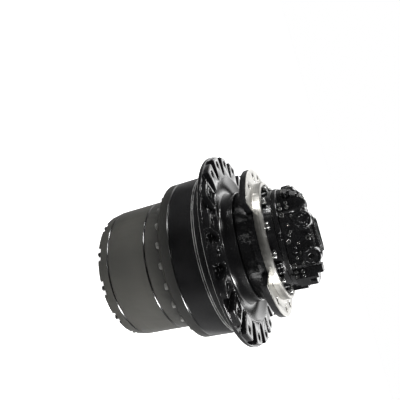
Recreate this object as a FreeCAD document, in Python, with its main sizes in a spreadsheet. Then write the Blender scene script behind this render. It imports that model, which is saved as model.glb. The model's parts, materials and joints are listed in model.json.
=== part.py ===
"""Planetary hub drive with a hydraulic motor, standing on its end cover.

The axis is Z. The gearbox is below, the sprocket flange in the middle, and the
frame flange and the motor are above. Lengths are in millimetres.
"""
import FreeCAD, Part
import math
import os
import re
import Sketcher

SIZES = [
    # The housing of the gearbox, from the end cover up.
    ("cover_length", 47.0),
    ("cover_taper", 6.5),
    ("cover_bevel", 3.0),
    ("cover_plate", 24.0),
    ("cover_rim", 46.5),
    ("cover_notch_count", 12),
    ("cover_notch_width", 52.0),
    ("cover_notch_depth", 13.0),
    ("cover_notch_reach", 33.5),
    ("cover_notch_angle", -82.6),
    ("cover_bolt_inset", 14.5),
    ("cover_bolt_radius", 6.0),
    ("cover_bolt_bite", 24.0),
    ("oil_plug_count", 2),
    ("oil_plug_circle", 150.0),
    ("oil_plug_radius", 15.0),
    ("thrust_pad_radius", 26.0),
    ("thrust_pad_seat", 4.0),
    ("housing_radius", 251.5),
    ("joint_bevel", 2.0),
    ("housing_bevel", 3.5),
    ("ring_1_length", 153.5),
    ("ring_2_length", 121.5),
    ("ring_bore_relief", 2.0),
    ("clamp_flange_width", 48.5),
    ("clamp_flange_length", 44.0),
    ("clamp_flange_bevel", 9.0),
    ("clamp_flare", 22.0),
    ("clamp_bolt_count", 24),
    ("clamp_bolt_inset", 30.0),
    ("clamp_bolt_radius", 8.0),
    ("clamp_bolt_bite", 30.0),
    ("clamp_seat_radius", 16.0),
    # The hub and its sprocket flange.
    ("hub_body_length", 135.5),
    ("hub_groove_offset", 88.0),
    ("hub_groove_width", 5.0),
    ("hub_groove_depth", 4.0),
    ("sprocket_flange_width", 60.0),
    ("sprocket_disc", 13.5),
    ("lug_height", 21.0),
    ("lug_inset", 5.0),
    ("lug_width", 63.0),
    ("lug_count", 20),
    ("lug_bevel", 3.0),
    ("slot_end_radius", 15.0),
    ("sprocket_hole_offset", 28.0),
    ("sprocket_hole_radius", 13.0),
    ("dish_inset", 24.0),
    ("dish_curve", 95.0),
    ("flange_seat_step", 3.0),
    ("flange_relief", 1.0),
    ("neck_inset", 92.0),
    ("neck_length", 64.5),
    ("neck_root", 11.0),
    ("neck_bevel", 3.0),
    # The main bearings and the face seal between hub and spindle.
    ("carrier_room_inset", 32.0),
    ("carrier_room_depth", 20.0),
    ("bearing_depth", 63.0),
    ("bearing_1_wall", 13.0),
    ("bearing_2_wall", 23.0),
    ("bearing_gap", 4.0),
    ("bearing_width", 48.0),
    ("bearing_shoulder", 12.0),
    ("bearing_land", 30.0),
    ("race_wall", 13.0),
    ("race_slope", 6.0),
    ("seal_bore_wall", 21.0),
    ("seal_inner_inset", 56.0),
    ("seal_outer_inset", 40.0),
    ("seal_ring_thickness", 10.0),
    ("seal_ring_flange", 3.0),
    ("seal_ring_slope", 8.0),
    ("seal_depth", 10.0),
    ("seal_seat_inset", 58.0),
    ("seal_lip_inset", 30.0),
    ("seal_edge_inset", 24.0),
    # The spindle and the flange that meets the machine's frame.
    ("neck_gap", 4.0),
    ("collar_step", 3.0),
    ("collar_rise", 75.0),
    ("ear_reach", 58.0),
    ("ear_thickness", 25.0),
    ("ear_cut_inset", 6.0),
    ("ear_cut_angle", 58.0),
    ("ear_bevel", 2.0),
    ("pad_inset", 13.0),
    ("pad_height", 25.0),
    ("pad_angle", 22.0),
    ("pilot_wall", 12.0),
    ("pilot_height", 28.0),
    ("pilot_bevel", 2.0),
    ("frame_hole_offset", 30.0),
    ("frame_hole_radius", 13.0),
    ("frame_hole_turn", 10.0),
    ("frame_side_hole_turn", 38.0),
    ("dowel_offset", 13.0),
    ("dowel_radius", 5.0),
    ("dowel_turn", 7.0),
    ("tunnel_radius", 62.0),
    ("brake_room_radius", 128.0),
    ("brake_room_depth", 58.0),
    # The motor.
    ("motor_seat_step", 1.0),
    ("seat_clearance", 0.3),
    ("motor_seat_thickness", 23.0),
    ("motor_step", 29.0),
    ("motor_plate_rise", 53.0),
    ("motor_bolt_count", 12),
    ("motor_bolt_turn", 15.0),
    ("motor_bolt_inset", 15.0),
    ("motor_bolt_radius", 8.0),
    ("motor_bolt_bite", 30.0),
    ("spacer_length", 19.0),
    ("spacer_step", 3.0),
    ("case_wall_rise", 27.0),
    ("case_shoulder_rise", 62.0),
    ("case_shoulder_inset", 29.0),
    ("case_shoulder_curve", 70.0),
    ("case_dome_rise", 78.0),
    ("case_dome_inset", 73.0),
    ("case_dome_curve", 72.0),
    ("end_plate_rise", 20.0),
    ("end_plate_low_inset", 58.0),
    ("end_plate_high_inset", 26.0),
    ("end_plate_near_inset", 37.0),
    ("end_plate_far_inset", 6.0),
    ("end_bolt_radius", 5.0),
    ("end_bolt_inset", 16.0),
    ("end_bolt_sink", 11.0),
    ("end_bolt_sink_radius", 8.5),
    ("end_bolt_bite", 18.0),
    ("block_offset", 3.0),
    ("valve_block_low", 82.0),
    ("valve_block_high", 107.0),
    ("valve_block_inset", 1.0),
    ("valve_block_depth", 80.0),
    ("valve_block_offset", 3.0),
    ("valve_block_height", 87.0),
    ("valve_block_bevel", 9.0),
    ("valve_bolt_radius", 5.0),
    ("valve_bolt_inset", 12.0),
    ("valve_bolt_bite", 22.0),
    ("side_block_inset", 22.0),
    ("side_block_rise", 95.0),
    ("side_block_step", 15.0),
    ("side_block_bevel", 22.0),
    ("upper_side_reach", 120.0),
    ("lower_side_reach", 164.0),
    ("lower_side_first", 46.0),
    ("lower_side_second", 77.0),
    ("side_bolt_radius", 4.0),
    ("side_bolt_inset", 12.0),
    ("side_bolt_pitch", 15.0),
    ("side_bolt_rise", 8.0),
    ("side_bolt_spacing", 22.0),
    ("side_bolt_bite", 18.0),
    ("boss_radius", 29.0),
    ("boss_reach", 12.0),
    ("boss_height", 74.0),
    ("upper_boss_place", 43.0),
    ("lower_boss_place", 77.0),
    ("upper_cap_radius", 22.0),
    ("lower_cap_radius", 20.0),
    ("cap_seat", 9.0),
    ("cap_proud", 2.0),
    ("cap_dimple", 6.0),
    ("cap_socket", 17.0),
    ("cap_socket_depth", 7.0),
    ("spool_radius", 14.0),
    ("spool_length", 52.0),
    ("spool_travel", 6.0),
    ("spool_fit", 0.03),
    ("port_block_depth", 74.0),
    ("port_block_half", 84.0),
    ("port_block_height", 59.0),
    ("port_block_bevel", 12.0),
    ("port_radius", 17.0),
    ("port_depth", 34.0),
    ("port_place", 40.0),
    ("port_level", 39.0),
    ("port_step_inset", 27.0),
    ("port_step_half", 60.0),
    ("port_step_height", 70.0),
    ("foot_reach", 13.0),
    ("foot_half", 36.0),
    ("foot_depth", 13.0),
    ("foot_height", 21.0),
    ("control_block_inset", 9.0),
    ("control_block_depth", 78.0),
    ("control_block_half", 72.0),
    ("control_block_height", 56.0),
    ("control_plug_radius", 11.0),
    ("control_plug_across", 30.0),
    ("control_plug_head", 9.0),
    ("control_plug_bite", 20.0),
    ("control_plug_place", 34.0),
    # Gears, carriers and shafts.
    ("ring_1_wall", 37.0),
    ("sun_1_teeth", 18),
    ("planet_1_teeth", 30),
    ("ring_2_wall", 41.5),
    ("sun_2_teeth", 18),
    ("planet_2_teeth", 21),
    ("planet_count", 3),
    ("tooth_share", 0.42),
    ("tooth_addendum", 0.9),
    ("tooth_dedendum", 1.15),
    ("flank_angle", 20.0),
    ("gear_1_start", 73.0),
    ("gear_1_width", 74.0),
    ("gear_2_start", 210.0),
    ("gear_2_width", 76.0),
    ("carrier_1_inset", 14.5),
    ("carrier_2_inset", 16.0),
    ("carrier_plate", 16.0),
    ("carrier_side_gap", 2.0),
    ("window_gap", 3.0),
    ("sun_gap", 3.0),
    ("pin_1_radius", 26.0),
    ("pin_2_radius", 26.0),
    ("needle_wall", 7.0),
    ("running_fit", 0.05),
    ("carrier_bevel", 2.0),
    ("spline_hub_step", 7.0),
    ("spline_hub_length", 14.0),
    ("carrier_bolt_turn", 18.0),
    ("carrier_bolt_inset", 30.5),
    ("carrier_bolt_radius", 8.0),
    ("carrier_bolt_bite", 30.0),
    ("shaft_radius", 24.0),
    ("shaft_bevel", 2.0),
    ("sun_2_neck", 50.0),
    ("sun_2_bore", 32.0),
    ("sun_2_overhang", 1.0),
    ("shaft_bearing_radius", 48.0),
    ("shaft_bearing_width", 22.0),
    ("shaft_seal_radius", 38.0),
    ("shaft_seal_width", 24.0),
    ("shaft_end_gap", 3.0),
    ("brake_hub_radius", 60.0),
    ("brake_disc_radius", 104.0),
    ("brake_disc_thickness", 4.0),
    ("brake_disc_count", 4),
    ("brake_gap", 0.4),
    ("brake_plate_inner", 68.0),
    ("brake_piston_room", 12.0),
    ("brake_stroke", 2.5),
]

DERIVED = [
    ("cover_radius", "housing_radius - cover_taper"),
    ("cover_recess_radius", "housing_radius - cover_rim"),
    ("cover_notch_inner", "housing_radius - cover_notch_reach"),
    ("cover_bolt_circle", "housing_radius - cover_bolt_inset"),
    ("clamp_flange_radius", "housing_radius + clamp_flange_width"),
    ("clamp_bolt_circle", "clamp_flange_radius - clamp_bolt_inset"),
    ("carrier_room_radius", "clamp_bolt_circle - carrier_room_inset"),
    ("hub_radius", "clamp_flange_radius"),
    ("sprocket_radius", "hub_radius + sprocket_flange_width"),
    ("lug_radius", "sprocket_radius - lug_inset"),
    ("sprocket_hole_circle", "hub_radius + sprocket_hole_offset"),
    ("dish_radius", "hub_radius - dish_inset"),
    ("flange_seat", "dish_radius + flange_seat_step"),
    ("neck_radius", "hub_radius - neck_inset"),
    ("bearing_bore", "neck_radius - bearing_depth"),
    ("bearing_1_radius", "neck_radius - bearing_1_wall"),
    ("bearing_2_radius", "neck_radius - bearing_2_wall"),
    ("seal_bore", "neck_radius - seal_bore_wall"),
    ("seal_ring_inner", "neck_radius - seal_inner_inset"),
    ("seal_ring_outer", "neck_radius - seal_outer_inset"),
    ("seal_seat_radius", "neck_radius - seal_seat_inset"),
    ("seal_lip_radius", "neck_radius - seal_lip_inset"),
    ("seal_lip_outer", "neck_radius - seal_edge_inset"),
    ("collar_radius", "neck_radius - collar_step"),
    ("motor_seat_radius", "collar_radius + motor_seat_step"),
    ("pilot_radius", "motor_seat_radius + pilot_wall"),
    ("ear_radius", "pilot_radius + ear_reach"),
    ("ear_cut_radius", "pilot_radius - ear_cut_inset"),
    ("pad_radius", "ear_radius - pad_inset"),
    ("frame_hole_circle", "pilot_radius + frame_hole_offset"),
    ("dowel_circle", "pilot_radius + dowel_offset"),
    ("motor_bolt_circle", "motor_seat_radius - motor_bolt_inset"),
    ("motor_radius", "motor_seat_radius - motor_step"),
    ("spacer_radius", "motor_radius + spacer_step"),
    ("foot_radius", "motor_radius + foot_reach"),
    ("foot_inner", "motor_radius - port_block_depth"),
    ("port_block_radius", "motor_radius"),
    ("port_block_inner", "port_block_radius - port_block_depth"),
    ("port_step_radius", "motor_radius - port_step_inset"),
    ("control_block_radius", "motor_radius - control_block_inset"),
    ("control_block_inner", "control_block_radius - control_block_depth"),
    ("valve_block_front", "motor_radius - valve_block_inset"),
    ("valve_block_back", "valve_block_front - valve_block_depth"),
    ("side_block_front", "motor_radius - side_block_inset"),
    ("case_shoulder_radius", "motor_radius - case_shoulder_inset"),
    ("case_dome_radius", "motor_radius - case_dome_inset"),
    ("end_plate_low", "case_dome_radius - end_plate_low_inset"),
    ("end_plate_high", "case_dome_radius - end_plate_high_inset"),
    ("end_plate_near", "case_dome_radius - end_plate_near_inset"),
    ("end_plate_far", "case_dome_radius - end_plate_far_inset"),
    ("ring_2_start", "cover_length + ring_1_length"),
    ("hub_start", "ring_2_start + ring_2_length"),
    ("clamp_seat", "hub_start - clamp_flange_length"),
    ("flange_start", "hub_start + hub_body_length"),
    ("flange_face", "flange_start + sprocket_disc"),
    ("lug_top", "flange_face + lug_height"),
    ("neck_end", "flange_start + neck_length"),
    ("collar_start", "neck_end + neck_gap"),
    ("frame_face", "neck_end + collar_rise"),
    ("ear_start", "frame_face - ear_thickness"),
    ("pilot_top", "frame_face + pilot_height"),
    ("motor_seat_top", "frame_face + motor_seat_thickness"),
    ("spacer_start", "frame_face + motor_plate_rise"),
    ("case_start", "spacer_start + spacer_length"),
    ("case_top", "case_start + case_dome_rise"),
    ("end_top", "case_top + end_plate_rise"),
    ("block_start", "case_start + block_offset"),
    ("port_centre", "case_start + port_level"),
    ("foot_start", "spacer_start - foot_depth"),
    ("control_block_centre", "block_start + control_block_height / 2"),
    ("valve_block_start", "case_start + valve_block_offset"),
    ("side_block_top", "case_start + side_block_rise"),
    ("side_bolt_low", "valve_block_start + side_bolt_rise"),
    ("side_bolt_high", "side_bolt_low + side_bolt_spacing"),
    ("boss_level", "case_start + boss_height"),
    ("boss_front", "valve_block_front + boss_reach"),
    ("bearing_1_start", "hub_start + carrier_room_depth + bearing_gap"),
    ("bearing_1_end", "bearing_1_start + bearing_width"),
    ("bearing_2_start", "bearing_1_end + bearing_land"),
    ("bearing_2_end", "bearing_2_start + bearing_width"),
    ("spindle_end", "bearing_1_start"),
    ("brake_floor", "frame_face - brake_room_depth"),
    ("seal_plane", "neck_end - seal_depth"),
    ("seal_seat", "seal_plane + seat_clearance + seal_ring_thickness"),
    ("module_1", "2 * (housing_radius - ring_1_wall) / ring_1_teeth"),
    ("module_2", "2 * (housing_radius - ring_2_wall) / ring_2_teeth"),
    ("carrier_1_radius", "pitch_ring_1 - carrier_1_inset"),
    ("carrier_2_radius", "pitch_ring_2 - carrier_2_inset"),
    ("carrier_bolt_circle", "orbit_2 - carrier_bolt_inset"),
    ("spline_hub_radius", "bearing_bore + spline_hub_step"),
    ("pitch_sun_1", "module_1 * sun_1_teeth / 2"),
    ("pitch_planet_1", "module_1 * planet_1_teeth / 2"),
    ("ring_1_teeth", "sun_1_teeth + 2 * planet_1_teeth"),
    ("pitch_ring_1", "module_1 * ring_1_teeth / 2"),
    ("orbit_1", "pitch_sun_1 + pitch_planet_1"),
    ("pitch_sun_2", "module_2 * sun_2_teeth / 2"),
    ("pitch_planet_2", "module_2 * planet_2_teeth / 2"),
    ("ring_2_teeth", "sun_2_teeth + 2 * planet_2_teeth"),
    ("pitch_ring_2", "module_2 * ring_2_teeth / 2"),
    ("orbit_2", "pitch_sun_2 + pitch_planet_2"),
    ("ring_1_bore", "pitch_ring_1 + tooth_dedendum * module_1 + ring_bore_relief"),
    ("ring_2_bore", "pitch_ring_2 + tooth_dedendum * module_2 + ring_bore_relief"),
    ("carrier_1_start", "gear_1_start - carrier_side_gap - carrier_plate"),
    ("carrier_1_end", "gear_1_start + gear_1_width + carrier_side_gap + carrier_plate"),
    ("carrier_2_start", "gear_2_start - carrier_side_gap - carrier_plate"),
    ("carrier_2_end", "spindle_end - spline_hub_length"),
    ("gear_1_top", "gear_1_start + gear_1_width + carrier_side_gap"),
    ("gear_2_top", "gear_2_start + gear_2_width + carrier_side_gap"),
    ("pin_1_end", "carrier_1_end"),
    ("pin_2_end", "gear_2_top + carrier_plate"),
    ("carrier_bolt_seat", "gear_2_top + 2 * carrier_bolt_radius + carrier_side_gap"),
    ("slot_centre", "(slot_end_radius + lug_width / 2) / sin(180 / lug_count)"),
]

doc = FreeCAD.newDocument("HubDrive")
sheet = doc.addObject("Spreadsheet::Sheet", "Sizes")
reckoner = doc.addObject("Spreadsheet::Sheet", "Reckoner")


def fill_sheet():
    """Writes the driving sizes as numbers and the levels that follow from them as formulas."""
    row = 1
    for alias, value in SIZES:
        sheet.set("A%d" % row, alias)
        sheet.set("B%d" % row, str(value))
        sheet.setAlias("B%d" % row, alias)
        row += 1
    for alias, formula in DERIVED:
        sheet.set("A%d" % row, alias)
        sheet.set("B%d" % row, "=" + formula)
        sheet.setAlias("B%d" % row, alias)
        row += 1
    doc.recompute()


fill_sheet()
NAMES = {alias for alias, _ in SIZES + DERIVED}


def size(expression):
    """The value of a size, or of an expression in the sheet's names."""
    reckoner.set("A1", "=" + bound(expression))
    reckoner.recompute()
    return float(reckoner.get("A1"))


def bound(expression):
    """The same expression as another object of the document writes it."""
    return re.sub(r"[a-z][a-z_0-9]*", lambda m: "Sizes." + m[0] if m[0] in NAMES else m[0], str(expression))


def new_body(label):
    body = doc.addObject("PartDesign::Body", label)
    body.Label = label
    return body


def origin_item(body, role):
    return next(item for item in body.Origin.OriginFeatures if item.Role == role)


def new_sketch(body, name, role="XY_Plane", lift="0", turn="0"):
    """A sketch on one of the body's own planes, moved along its normal by lift and turned about it."""
    sketch = body.newObject("Sketcher::SketchObject", name)
    sketch.AttachmentSupport = [(origin_item(body, role), "")]
    sketch.MapMode = "FlatFace"
    sketch.AttachmentOffset = FreeCAD.Placement(FreeCAD.Vector(0, 0, size(lift)),
                                                FreeCAD.Rotation(FreeCAD.Vector(0, 0, 1), size(turn)))
    sketch.setExpression("AttachmentOffset.Base.z", bound(lift))
    sketch.setExpression("AttachmentOffset.Rotation.Angle", bound(turn))
    return sketch


def hold(sketch, kind, expression, *where):
    """Adds a constraint whose value follows the sheet."""
    index = sketch.addConstraint(Sketcher.Constraint(kind, *where, size(expression)))
    sketch.setExpression("Constraints[%d]" % index, bound(expression))


def hold_point(sketch, edge, end, across, up):
    hold(sketch, "DistanceX", across, -1, 1, edge, end)
    hold(sketch, "DistanceY", up, -1, 1, edge, end)


def arc_centre(start, end, radius):
    """Centre of the arc from start to end, on the left of the way for a positive radius."""
    chord = end - start
    half = chord.Length / 2
    side = FreeCAD.Vector(-chord.y, chord.x, 0).normalize()
    reach = math.sqrt(max(radius * radius - half * half, 0))
    return (start + end) * 0.5 + side * math.copysign(reach, radius)


def add_outline(sketch, corners):
    """A closed outline. A corner is (across, up), or (across, up, radius) where an arc leads to it."""
    points = [FreeCAD.Vector(size(c[0]), size(c[1]), 0) for c in corners]
    first_end = []
    for i, corner in enumerate(corners):
        start, end = points[i - 1], points[i]
        if len(corner) == 2:
            edge = sketch.addGeometry(Part.LineSegment(start, end), False)
            first_end.append((edge, 1, 2))
            continue
        radius = size(corner[2])
        centre = arc_centre(start, end, radius)
        inward = (start + end) * 0.5 - centre
        middle = centre + inward.normalize() * abs(radius)
        edge = sketch.addGeometry(Part.Arc(start, middle, end), False)
        near = (sketch.getPoint(edge, 1) - start).Length < (sketch.getPoint(edge, 2) - start).Length
        first_end.append((edge, 1, 2) if near else (edge, 2, 1))
    for i, corner in enumerate(corners):
        edge, _, end = first_end[i]
        after, start, _ = first_end[(i + 1) % len(corners)]
        sketch.addConstraint(Sketcher.Constraint("Coincident", edge, end, after, start))
        hold_point(sketch, edge, end, corner[0], corner[1])
        if len(corner) == 3:
            hold(sketch, "Radius", corner[2].lstrip("-"), edge)


def turned(label, corners):
    """A body turned about Z from an outline of (radius, height) corners."""
    body = new_body(label)
    sketch = new_sketch(body, label + "_outline", "XZ_Plane")
    add_outline(sketch, corners)
    turn = body.newObject("PartDesign::Revolution", label + "_turned")
    turn.Profile = sketch
    turn.ReferenceAxis = (sketch, ["V_Axis"])
    turn.Angle = 360
    body.Tip = turn
    doc.recompute()
    return body


def sector(body, name, kind, plane, angle, corners):
    """Adds or cuts a stretch of a turned outline, half on each side of the plane, and its copy opposite."""
    sketch = new_sketch(body, name + "_outline", plane)
    add_outline(sketch, corners)
    part = body.newObject(kind, name)
    part.Profile = sketch
    part.ReferenceAxis = (sketch, ["V_Axis"])
    part.Midplane = True
    part.setExpression("Angle", bound(angle))
    return repeat(body, part, "2")


def repeat(body, feature, count):
    """Repeats a feature evenly about Z."""
    pattern = body.newObject("PartDesign::PolarPattern", feature.Name + "_ring")
    pattern.Originals = [feature]
    pattern.Axis = (origin_item(body, "Z_Axis"), [""])
    pattern.Angle = 360
    pattern.setExpression("Occurrences", bound(count))
    body.Tip = pattern
    doc.recompute()
    return pattern


def pocket(body, name, sketch, depth, upward=False):
    """Cuts a sketch into the body, down from its plane unless upward."""
    cut = body.newObject("PartDesign::Pocket", name)
    cut.Profile = sketch
    cut.Reversed = upward
    cut.setExpression("Length", bound(depth))
    body.Tip = cut
    doc.recompute()
    return cut


def hole_ring(body, name, top, circle, radius, depth, count, angle="0", spots=("0",)):
    """Round holes down from a level: one for each spot angle, repeated evenly about Z."""
    sketch = new_sketch(body, name + "_sketch", lift=top, turn=angle)
    for spot in spots:
        across = "(%s) * cos(%s)" % (circle, spot)
        up = "(%s) * sin(%s)" % (circle, spot)
        place = FreeCAD.Vector(size(across), size(up), 0)
        edge = sketch.addGeometry(Part.Circle(place, FreeCAD.Vector(0, 0, 1), size(radius)), False)
        hold_point(sketch, edge, 3, across, up)
        hold(sketch, "Radius", radius, edge)
    cut = pocket(body, name, sketch, depth)
    return repeat(body, cut, count) if str(count) != "1" else cut


def piece(label, shape):
    """A sub-part whose shape is worked out by Part's own functions."""
    item = doc.addObject("Part::Feature", label)
    item.Label = label
    item.Shape = shape
    item.Placement = shape.Placement
    return item


def cylinder(radius, low, high, x=0.0, y=0.0):
    return Part.makeCylinder(radius, high - low, FreeCAD.Vector(x, y, low))


def around(shape, count, first=0.0):
    """Copies of a shape evenly about Z, the first turned by an angle."""
    copies = []
    for i in range(count):
        copy = shape.copy()
        copy.rotate(FreeCAD.Vector(), FreeCAD.Vector(0, 0, 1), first + 360.0 * i / count)
        copies.append(copy)
    return copies


def prism_hexagon(across, low, high, x=0.0, y=0.0):
    """A hexagonal bar, as wide across its flats as given."""
    radius = across / math.sqrt(3)
    corners = [FreeCAD.Vector(x + radius * math.cos(math.radians(60 * i)),
                              y + radius * math.sin(math.radians(60 * i)), low) for i in range(7)]
    return Part.Face(Part.makePolygon(corners)).extrude(FreeCAD.Vector(0, 0, high - low))


HEAD_SHARE = 1.5
SOCKET_SHARE = 0.9
SOCKET_DEPTH_SHARE = 1.0


def cap_screw(radius, seat, bite, down=True):
    """A socket head cap screw on the axis. Its head is below the seat when it points up, or above."""
    way = 1 if down else -1
    head = 2 * radius
    shank = cylinder(radius, min(seat, seat + way * bite), max(seat, seat + way * bite))
    cap = cylinder(HEAD_SHARE * radius, min(seat, seat - way * head), max(seat, seat - way * head))
    top = seat - way * head
    bottom = top + way * SOCKET_DEPTH_SHARE * radius
    socket = prism_hexagon(2 * SOCKET_SHARE * radius, min(top, bottom), max(top, bottom))
    return cap.cut(socket).fuse(shank)


def gear_outline(pitch, module, teeth, turn, inward, height):
    """Corners of a toothed wheel, or of the space inside a toothed ring."""
    sign = -1 if inward else 1
    tip = pitch + sign * size("tooth_addendum") * module
    root = pitch - sign * size("tooth_dedendum") * module
    slope = math.tan(math.radians(size("flank_angle")))
    half = size("tooth_share") * math.pi * module / 2
    half_tip = (half - abs(tip - pitch) * slope) / tip
    half_root = (half + abs(root - pitch) * slope) / root
    corners = []
    for i in range(teeth):
        middle = math.radians(turn) + 2 * math.pi * i / teeth
        for radius, angle in ((root, -half_root), (tip, -half_tip), (tip, half_tip), (root, half_root)):
            corners.append(FreeCAD.Vector(radius * math.cos(middle + angle),
                                          radius * math.sin(middle + angle), height))
    return corners + corners[:1]


def gear_prism(pitch, module, teeth, turn, low, high, inward=False):
    corners = gear_outline(pitch, module, teeth, turn, inward, low)
    return Part.Face(Part.makePolygon(corners)).extrude(FreeCAD.Vector(0, 0, high - low))


def planet_turn(orbit_angle, sun_teeth, planet_teeth):
    """Turn of a planet whose gap meets the tooth of a sun that has a tooth at angle 0."""
    return orbit_angle + 180 - (0.5 - orbit_angle * sun_teeth / 360.0) * 360.0 / planet_teeth


def ring_turn(orbit_angle, sun_teeth, planet_teeth, ring_teeth):
    """Turn of the ring gear that meshes with those planets."""
    return orbit_angle * (1 + sun_teeth / ring_teeth) + 180.0 * planet_teeth / ring_teeth


FIRST_PLANET_1 = 30.0
FIRST_PLANET_2 = -30.0
CARRIER_BOLTS = ("carrier_bolt_turn", "-carrier_bolt_turn")
FOOT = [("foot_inner", "-foot_half"), ("foot_radius", "-foot_half"), ("foot_radius", "foot_half"),
        ("foot_inner", "foot_half")]


def make_cover():
    body = turned("cover", [
        ("thrust_pad_radius", "cover_plate - thrust_pad_seat"),
        ("thrust_pad_radius", "cover_plate"),
        ("cover_recess_radius", "cover_plate"),
        ("cover_recess_radius + 6", "cover_length"),
        ("housing_radius - housing_bevel", "cover_length"),
        ("housing_radius", "cover_length - housing_bevel"),
        ("cover_radius", "cover_bevel"),
        ("cover_radius - cover_bevel", "0"),
        ("0", "0"),
        ("0", "cover_plate - thrust_pad_seat"),
    ])
    sketch = new_sketch(body, "cover_notch_sketch", turn="cover_notch_angle")
    half = "cover_notch_width / 2"
    add_outline(sketch, [
        ("cover_notch_inner", half),
        ("cover_notch_inner", "-" + half, "cover_notch_inner"),
        ("cover_radius + cover_notch_width", "-" + half),
        ("cover_radius + cover_notch_width", half),
    ])
    cut = pocket(body, "cover_notch", sketch, "cover_notch_depth", upward=True)
    repeat(body, cut, "cover_notch_count")
    hole_ring(body, "cover_bolt_hole", "cover_length", "cover_bolt_circle", "cover_bolt_radius",
              "cover_length - cover_notch_depth", "cover_notch_count", "cover_notch_angle")
    hole_ring(body, "oil_plug_hole", "cover_plate", "oil_plug_circle", "oil_plug_radius",
              "cover_plate", "oil_plug_count", "90")


def make_cover_fittings():
    seat = size("cover_notch_depth")
    bite = size("cover_length - cover_notch_depth + cover_bolt_bite")
    screw = cap_screw(size("cover_bolt_radius"), seat, bite)
    screw.translate(FreeCAD.Vector(size("cover_bolt_circle"), 0, 0))
    count = round(size("cover_notch_count"))
    piece("cover_bolts", Part.makeCompound(around(screw, count, size("cover_notch_angle"))))
    plate = size("cover_plate")
    recess = plate / 3
    plug = cylinder(size("oil_plug_radius"), recess, plate, size("oil_plug_circle"))
    plug = plug.cut(prism_hexagon(size("oil_plug_radius"), recess, plate / 2, size("oil_plug_circle")))
    piece("oil_plugs", Part.makeCompound(around(plug, round(size("oil_plug_count")), 90.0)))
    pad = cylinder(size("thrust_pad_radius"), size("cover_plate - thrust_pad_seat"),
                   size("gear_1_start - seat_clearance"))
    piece("thrust_pad", pad)


def make_ring_gears():
    bore_1 = size("ring_1_bore")
    shell = [
        (bore_1, "cover_length"),
        ("housing_radius - housing_bevel", "cover_length"),
        ("housing_radius", "cover_length + housing_bevel"),
        ("housing_radius", "ring_2_start - housing_bevel"),
        ("housing_radius - housing_bevel", "ring_2_start"),
        (bore_1, "ring_2_start"),
    ]
    wall = turned_shape(shell)
    module, teeth = size("module_1"), round(size("ring_1_teeth"))
    turn = ring_turn(FIRST_PLANET_1, size("sun_1_teeth"), size("planet_1_teeth"), teeth)
    low, high = size("gear_1_start"), size("gear_1_start + gear_1_width")
    band = cylinder(bore_1 + 1, low, high)
    band = band.cut(gear_prism(size("pitch_ring_1"), module, teeth, turn, low, high, inward=True))
    bolt = cylinder(size("cover_bolt_radius"), size("cover_length"), size("cover_length + cover_bolt_bite"),
                    size("cover_bolt_circle"))
    holes = around(bolt, round(size("cover_notch_count")), size("cover_notch_angle"))
    piece("ring_gear_1", wall.fuse(band).cut(holes))

    bore_2 = size("ring_2_bore")
    seat = "clamp_seat"
    shell = [
        (bore_2, "ring_2_start"),
        ("housing_radius - housing_bevel", "ring_2_start"),
        ("housing_radius", "ring_2_start + housing_bevel"),
        ("housing_radius", seat + " - clamp_flare"),
        ("housing_radius + clamp_flare", seat),
        ("clamp_flange_radius - clamp_flange_bevel", seat),
        ("clamp_flange_radius", seat + " + clamp_flange_bevel"),
        ("clamp_flange_radius", "hub_start - housing_bevel"),
        ("clamp_flange_radius - housing_bevel", "hub_start"),
        (bore_2, "hub_start"),
    ]
    wall = turned_shape(shell)
    module, teeth = size("module_2"), round(size("ring_2_teeth"))
    turn = ring_turn(FIRST_PLANET_2, size("sun_2_teeth"), size("planet_2_teeth"), teeth)
    low, high = size("gear_2_start"), size("gear_2_start + gear_2_width")
    band = cylinder(bore_2 + 1, low, high)
    band = band.cut(gear_prism(size("pitch_ring_2"), module, teeth, turn, low, high, inward=True))
    circle = size("clamp_bolt_circle")
    hole = cylinder(size("clamp_bolt_radius"), size(seat), size("hub_start"), circle)
    scallop = cylinder(size("clamp_seat_radius"), size(seat + " - clamp_flare"), size(seat), circle)
    count = round(size("clamp_bolt_count"))
    cuts = around(hole.fuse(scallop), count, -90.0)
    piece("ring_gear_2", wall.fuse(band).cut(cuts))
    screw = cap_screw(size("clamp_bolt_radius"), size(seat), size("clamp_flange_length + clamp_bolt_bite"))
    screw.translate(FreeCAD.Vector(circle, 0, 0))
    piece("clamp_bolts", Part.makeCompound(around(screw, count, -90.0)))


def turned_shape(corners):
    """A solid turned about Z from (radius, height) corners."""
    points = [FreeCAD.Vector(size(r), 0, size(z)) for r, z in corners]
    face = Part.Face(Part.makePolygon(points + points[:1]))
    return face.revolve(FreeCAD.Vector(), FreeCAD.Vector(0, 0, 1), 360)


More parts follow.
